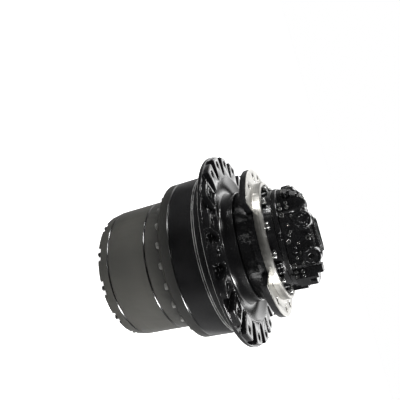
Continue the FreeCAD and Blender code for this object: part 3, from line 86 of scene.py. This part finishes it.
# The joints of the housings, as (low, high) heights of the lines that are drawn on them.
JOINT_BEVEL = 0.0035
JOINT_LAP = 0.0008
JOINTS = [(level(node, 1) - share * JOINT_BEVEL, level(node, 1) + JOINT_LAP)
          for node, share in (("cover", 1.0), ("ring_gear_1", 1.3), ("ring_gear_2", 1.0))]
# The clamp screws' pockets in the flare of the second housing: count, circle, radius and heights.
CLAMP_POCKETS = (24, 0.27, 0.0165)
CLAMP_FLARE = (HUB_START - 0.066, HUB_START - 0.0435)


class Finish:
    """A material whose nodes are added one by one."""

    def __init__(self, name):
        self.material = bpy.data.materials.new(name)
        self.material.use_nodes = True
        self.tree = self.material.node_tree
        self.tree.nodes.clear()
        self.surface = self.add("ShaderNodeBsdfPrincipled")
        output = self.add("ShaderNodeOutputMaterial")
        self.link(self.surface.outputs["BSDF"], output.inputs["Surface"])
        self.place = self.add("ShaderNodeTexCoord").outputs["Object"]

    def add(self, kind, **settings):
        node = self.tree.nodes.new(kind)
        for key, value in settings.items():
            setattr(node, key, value)
        return node

    def link(self, source, target):
        self.tree.links.new(source, target)

    def set(self, **values):
        """Sets the surface's own sockets. An underscore in a name stands for a space."""
        for key, value in values.items():
            self.surface.inputs[key.replace("_", " ")].default_value = value

    def math(self, operation, first, second=None):
        node = self.add("ShaderNodeMath", operation=operation)
        for socket, value in zip(node.inputs, (first, second)):
            if value is None:
                continue
            if isinstance(value, (int, float)):
                socket.default_value = value
            else:
                self.link(value, socket)
        return node.outputs[0]

    def noise(self, scale, detail=3.0, place=None):
        node = self.add("ShaderNodeTexNoise")
        node.inputs["Scale"].default_value = scale
        node.inputs["Detail"].default_value = detail
        node.inputs["Roughness"].default_value = 0.5
        self.link(place or self.place, node.inputs["Vector"])
        return node.outputs["Fac"]

    def spread(self, source, low, high, from_low=NOISE_LOW, from_high=NOISE_HIGH):
        """Maps a source, a noise unless its range is given, to a range of values."""
        node = self.add("ShaderNodeMapRange")
        limits = {"From Min": from_low, "From Max": from_high, "To Min": low, "To Max": high}
        for key, value in limits.items():
            node.inputs[key].default_value = value
        self.link(source, node.inputs["Value"])
        return node.outputs["Result"]

    def shades(self, source, first, second):
        """Maps a noise to the colours between two."""
        node = self.add("ShaderNodeValToRGB")
        stops = ((NOISE_LOW, first), (NOISE_HIGH, second))
        for point, (position, colour) in zip(node.color_ramp.elements, stops):
            point.position = position
            point.color = (*colour, 1.0)
        self.link(source, node.inputs["Fac"])
        return node.outputs["Color"]

    def split(self):
        """The x, y and z of the place."""
        node = self.add("ShaderNodeSeparateXYZ")
        self.link(self.place, node.inputs[0])
        return node.outputs

    def length(self, x, y):
        """Length of a flat vector."""
        squares = [self.math("MULTIPLY", value, value) for value in (x, y)]
        return self.math("SQRT", self.math("ADD", *squares))

    def mix(self, share, first, second):
        """The first colour where the share is 0 and the second where it is 1."""
        node = self.add("ShaderNodeMix", data_type="RGBA")
        self.link(share, node.inputs["Factor"])
        for socket, value in ((node.inputs[6], first), (node.inputs[7], second)):
            if isinstance(value, tuple):
                socket.default_value = (*value, 1.0)
            else:
                self.link(value, socket)
        return node.outputs[2]

    def bands(self, heights):
        """1 between each pair of heights and 0 elsewhere."""
        height = self.split()[2]
        total = None
        for low, high in heights:
            from_middle = self.math("ABSOLUTE", self.math("SUBTRACT", height, (low + high) / 2))
            inside = self.math("LESS_THAN", from_middle, (high - low) / 2)
            total = inside if total is None else self.math("MAXIMUM", total, inside)
        return total

    def pockets(self, count, circle, radius):
        """1 within a radius of each of the screws that stand evenly on a circle round Z, else 0."""
        x, y, _ = self.split()
        turns = self.math("MULTIPLY", self.math("ARCTAN2", y, x), count / (2 * math.pi))
        aside = self.math("SUBTRACT", turns, self.math("ROUND", turns))
        aside = self.math("MULTIPLY", aside, 2 * math.pi * circle / count)
        out = self.math("SUBTRACT", self.length(x, y), circle)
        return self.spread(self.length(out, aside), 1.0, 0.0, radius, radius + POCKET_BLUR)

    def turning(self, along, around):
        """A place that changes fast across a turned surface's tool marks and slowly along them."""
        x, y, z = self.split()
        join = self.add("ShaderNodeCombineXYZ")
        self.link(self.math("MULTIPLY", x, around), join.inputs[0])
        self.link(self.math("MULTIPLY", y, around), join.inputs[1])
        across = self.math("ADD", z, self.length(x, y))
        self.link(self.math("MULTIPLY", across, along), join.inputs[2])
        return join.outputs[0]

    def relief(self, *layers):
        """Bump from (height source, distance in metres, strength) layers."""
        normal = None
        for source, distance, strength in layers:
            node = self.add("ShaderNodeBump")
            node.inputs["Distance"].default_value = distance
            node.inputs["Strength"].default_value = strength
            self.link(source, node.inputs["Height"])
            if normal:
                self.link(normal, node.inputs["Normal"])
            normal = node.outputs["Normal"]
        self.link(normal, self.surface.inputs["Normal"])

    def colour(self, source):
        self.link(source, self.surface.inputs["Base Color"])

    def roughness(self, source):
        self.link(source, self.surface.inputs["Roughness"])


def gloss_paint(name, grain, rough=0.16, edges=()):
    """Glossy black paint. The grain is the height of the casting's texture under it.

    The edges are (low, high) heights along which grey is painted on as a highlight, and the paint is
    rougher there.
    """
    f = Finish(name)
    paint = f.shades(f.noise(9.0, 4.0), *BLACK_PAINT)
    gloss = f.spread(f.noise(40.0, 4.0), rough - 0.04, rough + 0.08)
    if edges:
        # Painted highlight: grey along the edge bands, with rougher gloss.
        edge_highlight = f.math("MULTIPLY", f.bands(edges), f.spread(f.noise(30.0), 0.35, 1.0))
        paint = f.mix(edge_highlight, paint, EDGE_HIGHLIGHT_GREY)
        gloss = f.spread(edge_highlight, rough, 0.34, 0.0, 1.0)
    f.colour(paint)
    f.roughness(gloss)
    f.set(IOR=PAINT_IOR)
    f.relief((f.noise(55.0), grain, 0.5), (f.noise(420.0, 2.0), 0.0001, 0.1))
    return f.material


def flange_finish(name, face):
    """Glossy paint on the casting up to a height, and bare turned steel above it."""
    f = Finish(name)
    above = f.spread(f.split()[2], 0.0, 1.0, face - 0.0004, face)
    paint = f.shades(f.noise(9.0, 4.0), *BLACK_PAINT)
    marks = f.noise(1.0, 4.0, f.turning(1100.0, 4.0))
    steel = f.shades(marks, (0.1, 0.096, 0.085), (0.54, 0.53, 0.5))
    f.colour(f.mix(above, paint, steel))
    paint_gloss = f.spread(f.noise(40.0, 4.0), 0.12, 0.24)
    steel_gloss = f.spread(marks, 0.3, 0.44)
    f.roughness(f.math("ADD", f.math("MULTIPLY", above, steel_gloss),
                       f.math("MULTIPLY", f.math("SUBTRACT", 1.0, above), paint_gloss)))
    f.link(above, f.surface.inputs["Metallic"])
    f.set(IOR=PAINT_IOR)
    f.relief((f.noise(55.0), 0.0012, 0.3), (marks, 0.00012, 0.4))
    return f.material


def satin_paint(name, edges, shade):
    """Satin dark grey paint over a turned housing.

    Sealer makes a glossy black line on the (low, high) heights of the edges. The paint is darker
    above the two heights of the shade: painted shade, for the light that the flange keeps off. The
    clamp screws' pockets are painted black, as painted shade in them.
    """
    f = Finish(name)
    line = f.bands(edges)
    cloud = f.noise(6.0, 5.0)
    height = f.math("ADD", f.split()[2], f.math("MULTIPLY", f.noise(14.0), 0.02))
    paint = f.shades(cloud, (0.028, 0.0277, 0.025), (0.039, 0.038, 0.0335))
    # Painted shade: a darker copy of the paint, towards the flange.
    flange_shade = f.shades(cloud, (0.008, 0.008, 0.0075), (0.013, 0.0128, 0.012))
    paint = f.mix(f.spread(height, 0.0, 1.0, *shade), paint, flange_shade)
    # Painted shade: the clamp screws' pockets are painted black.
    pockets = f.math("MULTIPLY", f.pockets(*CLAMP_POCKETS), f.bands([CLAMP_FLARE]))
    f.colour(f.mix(line, f.mix(pockets, paint, POCKET_SHADE), LINE_BLACK))
    marks = f.noise(1.0, 2.0, f.turning(900.0, 3.0))
    f.roughness(f.math("SUBTRACT", f.spread(marks, 0.3, 0.4), f.math("MULTIPLY", line, 0.16)))
    f.set(IOR=PAINT_IOR)
    f.relief((marks, 0.00008, 0.3), (f.noise(60.0), 0.0006, 0.15))
    return f.material


def machined(name, dark, light, rough):
    """Bare steel with tool marks round the axis."""
    f = Finish(name)
    marks = f.noise(1.0, 3.0, f.turning(1400.0, 5.0))
    f.colour(f.shades(marks, dark, light))
    f.roughness(f.spread(marks, rough - 0.06, rough + 0.08))
    f.set(Metallic=1.0)
    f.relief((marks, 0.0001, 0.35))
    return f.material


def plain(name, dark, light, rough, metallic=0.0):
    """A small part's material, with fine spots in its colour and its gloss."""
    f = Finish(name)
    spots = f.noise(120.0)
    f.colour(f.shades(spots, dark, light))
    f.roughness(f.spread(spots, rough - 0.06, rough + 0.08))
    f.set(Metallic=metallic)
    f.relief((f.noise(500.0, 2.0), 0.0001, 0.3))
    return f.material


FINISHES = {
    "black_paint": gloss_paint("black_paint", 0.0004),
    # The hub's groove bands and the flange's edge band get painted highlight lines.
    "hub_paint": gloss_paint("hub_paint", 0.0003, 0.2, [
        (HUB_GROOVE - 0.0022, HUB_GROOVE + 0.0006), (HUB_GROOVE + 0.0044, HUB_GROOVE + 0.0072)]),
    "lug_paint": gloss_paint("lug_paint", 0.0012, 0.14, [(FLANGE_EDGE, FLANGE_EDGE + 0.0026)]),
    "cast_paint": gloss_paint("cast_paint", 0.0018, 0.14),
    "spindle_flange": flange_finish("spindle_flange", EAR_FACE - 0.0024),
    "grey_paint": satin_paint("grey_paint", JOINTS, (level("ring_gear_1", 1) - 0.02, HUB_START)),
    "bare_steel": machined("bare_steel", (0.48, 0.47, 0.45), (0.62, 0.61, 0.59), 0.32),
    "bolt_steel": plain("bolt_steel", (0.16, 0.16, 0.158), (0.3, 0.3, 0.29), 0.24, 0.95),
    "clamp_steel": plain("clamp_steel", (0.26, 0.26, 0.25), (0.5, 0.5, 0.48), 0.36, 0.9),
    "bronze": plain("bronze", (0.5, 0.32, 0.14), (0.62, 0.42, 0.2), 0.35, 1.0),
    "seal_rubber": plain("seal_rubber", (0.018, 0.018, 0.018), (0.03, 0.03, 0.03), 0.6),
    "brake_facing": plain("brake_facing", (0.12, 0.1, 0.08), (0.2, 0.16, 0.12), 0.7),
}
# The nodes whose finish isn't simply the one of their material slot.
NODE_FINISHES = {"hub": "hub_paint", "sprocket_flange": "lug_paint", "spindle": "spindle_flange",
                 "clamp_bolts": "clamp_steel"}
NODE_FINISHES.update(dict.fromkeys((
    "motor_plate", "spacer_ring", "motor_case", "end_plate", "valve_block", "upper_cap", "lower_cap",
    "upper_side_block", "lower_side_block"), "cast_paint"))


def paint_nodes():
    slots = {row["node"]: row["material_slot"] for row in frame["record"]["subparts"]}
    for name, node in NODES.items():
        finish = FINISHES[NODE_FINISHES.get(name, slots[name])]
        node.data.materials.clear()
        node.data.materials.append(finish)


# Width of the rounded edges of the nodes that show.
ROUNDED = {
    "cover": 0.0012, "ring_gear_1": 0.0008, "ring_gear_2": 0.001, "hub": 0.0014,
    "sprocket_flange": 0.0014, "spindle": 0.0012, "motor_plate": 0.001, "spacer_ring": 0.001,
    "motor_case": 0.003, "end_plate": 0.002, "valve_block": 0.003, "upper_cap": 0.001,
    "lower_cap": 0.001, "clamp_bolts": 0.0006, "cover_bolts": 0.0006, "motor_bolts": 0.0008,
    "end_plate_bolts": 0.0006, "valve_bolts": 0.0006, "control_plugs": 0.0008,
    "upper_side_block": 0.002, "lower_side_block": 0.002, "side_block_bolts": 0.0005,
}
SHARP_ANGLE = math.radians(32)
FLAT_ANGLE = math.radians(0.5)
WELD_DISTANCE = 0.00001


def smooth(mesh):
    for face in mesh.polygons:
        face.use_smooth = True


def add_bevel(piece, width):
    """Rounds a piece's sharp edges."""
    edge = piece.modifiers.new("edge", "BEVEL")
    edge.width = width
    edge.segments = 2
    edge.limit_method = "ANGLE"
    edge.angle_limit = SHARP_ANGLE
    edge.harden_normals = True


def round_edges():
    """Welds each visible node's facets, joins its flat ones and rounds its sharp edges."""
    for name, width in ROUNDED.items():
        node = NODES[name]
        weld = node.modifiers.new("weld", "WELD")
        weld.merge_threshold = WELD_DISTANCE
        flat = node.modifiers.new("flat", "DECIMATE")
        flat.decimate_type = "DISSOLVE"
        flat.angle_limit = FLAT_ANGLE
        add_bevel(node, width)
        smooth(node.data)


def add_piece(name, shape, finish, place, axis, edge=0.0008):
    """A small piece of the motor from a bmesh made along its own Z, turned to an axis and put in place."""
    mesh = bpy.data.meshes.new(name)
    shape.to_mesh(mesh)
    shape.free()
    mesh.materials.append(FINISHES[finish])
    smooth(mesh)
    piece = bpy.data.objects.new(name, mesh)
    bpy.context.scene.collection.objects.link(piece)
    turn = Vector(axis).to_track_quat("Z", "Y").to_matrix().to_4x4()
    piece.matrix_world = Matrix.Translation(place) @ turn
    add_bevel(piece, edge)
    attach(piece, "frame_side")


def lathe(profile, steps):
    """A turned shape from (radius, height) points. One that isn't a ring starts and ends on the axis."""
    shape = bmesh.new()
    rings = []
    for radius, height in profile:
        count = steps if radius else 1
        turns = [2 * math.pi * i / count for i in range(count)]
        rings.append([shape.verts.new((radius * math.cos(turn), radius * math.sin(turn), height))
                      for turn in turns])
    for low, high in zip(rings, rings[1:]):
        for i in range(steps):
            j = i + 1
            corners = (low[i % len(low)], low[j % len(low)], high[j % len(high)], high[i % len(high)])
            shape.faces.new(tuple(dict.fromkeys(corners)))
    bmesh.ops.recalc_face_normals(shape, faces=shape.faces)
    return shape


def prism(corners, low, high, top_share):
    """An upright prism over an outline, whose top is smaller."""
    shape = bmesh.new()
    floor = [shape.verts.new((x, y, low)) for x, y in corners]
    roof = [shape.verts.new((x * top_share, y * top_share, high)) for x, y in corners]
    shape.faces.new(floor)
    shape.faces.new(roof)
    for i in range(len(corners)):
        j = (i + 1) % len(corners)
        shape.faces.new((floor[i], floor[j], roof[j], roof[i]))
    bmesh.ops.recalc_face_normals(shape, faces=shape.faces)
    return shape


def cut_off(shape, place, normal):
    """Takes away what lies beyond a plane and closes the cut."""
    bmesh.ops.remove_doubles(shape, verts=shape.verts, dist=1e-6)
    cut = bmesh.ops.bisect_plane(shape, geom=shape.verts[:] + shape.edges[:] + shape.faces[:],
                                 plane_co=place, plane_no=normal, clear_outer=True)["geom_cut"]
    bmesh.ops.holes_fill(shape, edges=[part for part in cut if isinstance(part, bmesh.types.BMEdge)])
    bmesh.ops.recalc_face_normals(shape, faces=shape.faces)
    return shape


def on_circle(radius, degrees):
    return radius * math.cos(math.radians(degrees)), radius * math.sin(math.radians(degrees))


def socket_screw(name, place, radius, axis=FRONT):
    """Head of a socket screw, with the hexagon as a round recess."""
    height = 1.1 * radius
    head = [(0, -0.3 * radius), (radius, -0.3 * radius), (radius, height - 0.2 * radius),
            (0.85 * radius, height), (0.55 * radius, height), (0.5 * radius, 0.45 * height),
            (0, 0.4 * height)]
    add_piece(name, lathe(head, 24), "bolt_steel", place, axis, 0.1 * radius)


def port_plug(name, place, radius, axis=FRONT):
    """A screwed plug: a hexagon on a washer face."""
    washer = [(0, -0.2 * radius), (1.25 * radius, -0.2 * radius), (1.25 * radius, 0.15 * radius),
              (1.1 * radius, 0.25 * radius), (0, 0.25 * radius)]
    add_piece(name + "_washer", lathe(washer, 32), "cast_paint", place, axis, 0.06 * radius)
    corners = [on_circle(radius, 15.0 + 60.0 * i) for i in range(6)]
    hexagon = prism(corners, 0.2 * radius, 0.85 * radius, 0.94)
    add_piece(name, hexagon, "cast_paint", place, axis, 0.09 * radius)


def add_bosses():
    """Fillets where the valve block's round bosses leave its face, and the rims and ridge on their ends.

    A fillet is cut off where the block ends: above the boss's axis and on the block's far side.
    """
    radius = 0.029
    boss_length = 0.012
    block_top = 0.0152
    block_side = 0.1064
    end = VALVE_FACE - boss_length
    for name, x, cap in (("upper_boss", -0.043, 0.022), ("lower_boss", 0.077, 0.020)):
        bore = radius - 0.001
        fillet = lathe([
            (bore, -0.002), (radius + 0.006, -0.002), (radius + 0.006, 0.0006), (radius + 0.0022, 0.0018),
            (radius + 0.0008, 0.0045), (radius + 0.0004, 0.008), (bore, 0.008), (bore, -0.002)], 64)
        fillet = cut_off(fillet, (0, block_top, 0), (0, 1, 0))
        fillet = cut_off(fillet, (block_side - x, 0, 0), (1, 0, 0))
        add_piece(name + "_fillet", fillet, "cast_paint", (x, VALVE_FACE, BOSS_HEIGHT), FRONT, 0.0005)
        rim = lathe([
            (cap + 0.0012, -0.001), (radius - 0.0008, -0.001), (radius - 0.0016, 0.0012),
            (cap + 0.003, 0.0014), (cap + 0.0012, 0.0004), (cap + 0.0012, -0.001)], 64)
        add_piece(name + "_rim", rim, "cast_paint", (x, end, BOSS_HEIGHT), FRONT, 0.0003)
        if name == "upper_boss":
            ridge = lathe([(0, -0.0005), (0.0145, -0.0005), (0.0145, 0.0006), (0.0135, 0.0015),
                           (0.0118, 0.0015), (0.0108, 0.0004), (0, 0.0004)], 48)
            place = (x, end - 0.002, BOSS_HEIGHT)
            add_piece(name + "_ridge", ridge, "cast_paint", place, FRONT, 0.0003)


def add_valve_fittings():
    """Plugs and screws on the valve block, and plugs round the spacer ring."""
    port_plug("centre_plug", (0.016, VALVE_FACE, 0.746), 0.0095)
    port_plug("middle_plug", (0.047, VALVE_FACE, 0.697), 0.0085)
    screws = (
        (-0.012, 0.697, 0.0052), (-0.003, 0.691, 0.0048), (-0.037, 0.694, 0.0045), (0.073, 0.697, 0.0048),
        (0.060, 0.712, 0.0040), (0.028, 0.712, 0.0042), (-0.062, 0.712, 0.0045), (0.092, 0.712, 0.0045))
    for i, (x, z, radius) in enumerate(screws):
        socket_screw("valve_screw_%d" % i, (x, VALVE_FACE, z), radius)
    for i, (x, y) in enumerate(((0.001, -0.1796), (-0.0115, -0.1792), (0.128, -0.1262))):
        port_plug("spacer_plug_%d" % i, (x, y, 0.660), 0.0062, (x, y, 0.0))


def add_seat_fittings():
    """Small screws in the motor's mounting plate, between its large ones, and two capped drains."""
    for i in range(12):
        x, y = on_circle(0.197, -79.5 + 30 * i)
        socket_screw("plate_screw_%d" % i, (x, y, PLATE_STEP), 0.0042, (0, 0, 1))
    drain = [(0, 0), (0.0115, 0), (0.0115, 0.010), (0.0100, 0.012), (0.0100, 0.022), (0.0088, 0.025),
             (0, 0.026)]
    for i, turn in enumerate((-62.0, -55.5)):
        x, y = on_circle(0.186, turn)
        add_piece("drain_cap_%d" % i, lathe(drain, 32), "cast_paint", (x, y, PLATE_STEP), (0, 0, 1))


def add_control_fittings():
    """The regulator's plugs, caps and cast pads on the motor's upper shoulder."""
    up = (-0.62, -0.2, 0.75)
    cap = [(0, -0.006), (0.0135, -0.006), (0.0135, 0.004), (0.0105, 0.0085), (0.0062, 0.0105),
           (0.0062, 0.0145), (0, 0.015)]
    for row, (y, rise) in enumerate(((-0.060, 0.0), (-0.005, 0.003), (0.048, -0.002))):
        port_plug("shoulder_plug_%d" % row, (-0.151, y, 0.7235 + rise), 0.0105, up)
        place = (-0.1235, y + 0.020, 0.7405 + rise)
        socket_screw("shoulder_screw_%d" % row, place, 0.0062, (-0.3, 0, 0.95))
        place = (-0.133, y - 0.022, 0.734)
        add_piece("shoulder_cap_%d" % row, lathe(cap, 32), "cast_paint", place, up)
    outline = [(-0.016, -0.011), (0.012, -0.014), (0.017, -0.004), (0.015, 0.011), (-0.012, 0.014)]
    places = ((-0.148, -0.098, 0.700), (-0.136, -0.108, 0.722), (-0.116, -0.078, 0.738))
    for i, place in enumerate(places):
        pad = prism(outline, -0.008, 0.0075, 0.86)
        add_piece("shoulder_pad_%d" % i, pad, "cast_paint", place, (-0.55, -0.5, 0.6), 0.002)
    places = ((-0.157, -0.088, 0.696), (-0.150, -0.098, 0.714), (-0.1225, -0.106, 0.741))
    for i, place in enumerate(places):
        socket_screw("shoulder_pad_screw_%d" % i, place, 0.0055, (-0.6, -0.55, 0.55))


def add_camera():
    camera = bpy.data.objects.new("camera", bpy.data.cameras.new("camera"))
    camera.data.lens = CAMERA_LENS
    camera.data.sensor_width = 36.0
    turn = Matrix((CAMERA_RIGHT, CAMERA_UP, CAMERA_BACK)).transposed()
    camera.matrix_world = Matrix.Translation(CAMERA_PLACE) @ turn.to_4x4()
    bpy.context.scene.collection.objects.link(camera)
    bpy.context.scene.camera = camera


def add_floor():
    """A wide pale floor with a glow of its own, as in a light tent."""
    mesh = bpy.data.meshes.new("floor")
    half = 40.0
    mesh.from_pydata([(-half, -half, 0), (half, -half, 0), (half, half, 0), (-half, half, 0)], [],
                     [(0, 1, 2, 3)])
    floor = bpy.data.objects.new("floor", mesh)
    bpy.context.scene.collection.objects.link(floor)
    f = Finish("floor")
    f.colour(f.shades(f.noise(2.0), (0.86, 0.86, 0.85), (0.9, 0.9, 0.89)))
    f.set(Roughness=0.9, Emission_Color=(1.0, 1.0, 1.0, 1.0), Emission_Strength=0.94)
    mesh.materials.append(f.material)
    floor.visible_glossy = False


# Strength of the light tent between its panels, which is all there is where the camera stands.
TENT_DIM = 0.02
# The tent's bright panels: strength, and for each axis of the direction where the panel fades in.
TENT_PANELS = {
    "floor_right": (0.4, {"X": (0.42, 0.88)}),
    "floor_left": (0.1, {"X": (-0.35, -0.85)}),
    "back_right": (0.5, {"X": (0.1, 0.4), "Y": (0.35, 0.75)}),
    "back_left": (0.27, {"X": (-0.1, -0.4), "Y": (0.35, 0.75)}),
    "top_right": (2.5, {"X": (0.03, 0.15), "Y": (0.1, 0.8), "Z": (-0.1, 0.15)}),
    "top_left": (2.6, {"X": (-0.02, -0.13), "Y": (0.1, 0.8), "Z": (-0.1, 0.15)}),
}
# The soft boxes: place, target, side and power in watts.
SOFT_BOXES = {
    "left_box": ((-1.6, -1.0, 1.8), (0, 0, 0.45), 0.5, 30),
    "right_box": ((1.85, -0.85, 1.7), (0, 0, 0.3), 0.6, 85),
    "left_strip": ((-1.48, -0.40, 0.85), (0, 0, 0.6), 0.25, 12),
    "right_strip": ((1.37, -0.77, 0.85), (0, 0, 0.6), 0.25, 12),
    "front_spot": ((-0.55, -2.2, 1.5), (0, 0, 0.7), 0.12, 12),
}


def add_tent():
    """A light tent, dark where the camera stands and straight behind the object.

    The camera itself sees white paper all round.
    """
    world = bpy.data.worlds.new("studio")
    bpy.context.scene.world = world
    world.use_nodes = True
    tree = world.node_tree
    tree.nodes.clear()

    def add(kind, **values):
        node = tree.nodes.new(kind)
        for key, value in values.items():
            node.inputs[key.replace("_", " ")].default_value = value
        return node

    def fade(source, low, high):
        node = add("ShaderNodeMapRange", From_Min=low, From_Max=high)
        node.interpolation_type = "SMOOTHSTEP"
        tree.links.new(source, node.inputs["Value"])
        return node.outputs["Result"]

    def math_node(operation, first, second):
        node = add("ShaderNodeMath")
        node.operation = operation
        for socket, value in zip(node.inputs, (first, second)):
            if isinstance(value, float):
                socket.default_value = value
            else:
                tree.links.new(value, socket)
        return node.outputs[0]

    output = add("ShaderNodeOutputWorld")
    tent = add("ShaderNodeBackground", Color=(1.0, 1.0, 1.0, 1.0))
    paper = add("ShaderNodeBackground", Color=(1.0, 1.0, 1.0, 1.0), Strength=1.0)
    split = add("ShaderNodeSeparateXYZ")
    mix = add("ShaderNodeMixShader")
    tree.links.new(add("ShaderNodeTexCoord").outputs["Generated"], split.inputs[0])
    total = TENT_DIM
    for strength, fades in TENT_PANELS.values():
        panel = strength
        for axis, (low, high) in fades.items():
            panel = math_node("MULTIPLY", panel, fade(split.outputs[axis], low, high))
        total = math_node("MAXIMUM", total, panel)
    tree.links.new(total, tent.inputs["Strength"])
    tree.links.new(add("ShaderNodeLightPath").outputs["Is Camera Ray"], mix.inputs["Fac"])
    tree.links.new(tent.outputs[0], mix.inputs[1])
    tree.links.new(paper.outputs[0], mix.inputs[2])
    tree.links.new(mix.outputs[0], output.inputs["Surface"])


def add_soft_boxes():
    for name, (place, target, side, power) in SOFT_BOXES.items():
        light = bpy.data.lights.new(name, "AREA")
        light.shape = "RECTANGLE"
        light.size = side
        light.size_y = side
        light.energy = power
        lamp = bpy.data.objects.new(name, light)
        lamp.location = place
        aim = Vector(target) - Vector(place)
        lamp.rotation_euler = aim.to_track_quat("-Z", "Y").to_euler()
        bpy.context.scene.collection.objects.link(lamp)


def main():
    bpy.context.scene.view_settings.view_transform = "Standard"
    paint_nodes()
    round_edges()
    add_bosses()
    add_valve_fittings()
    add_seat_fittings()
    add_control_fittings()
    add_camera()
    add_floor()
    add_tent()
    add_soft_boxes()


main()
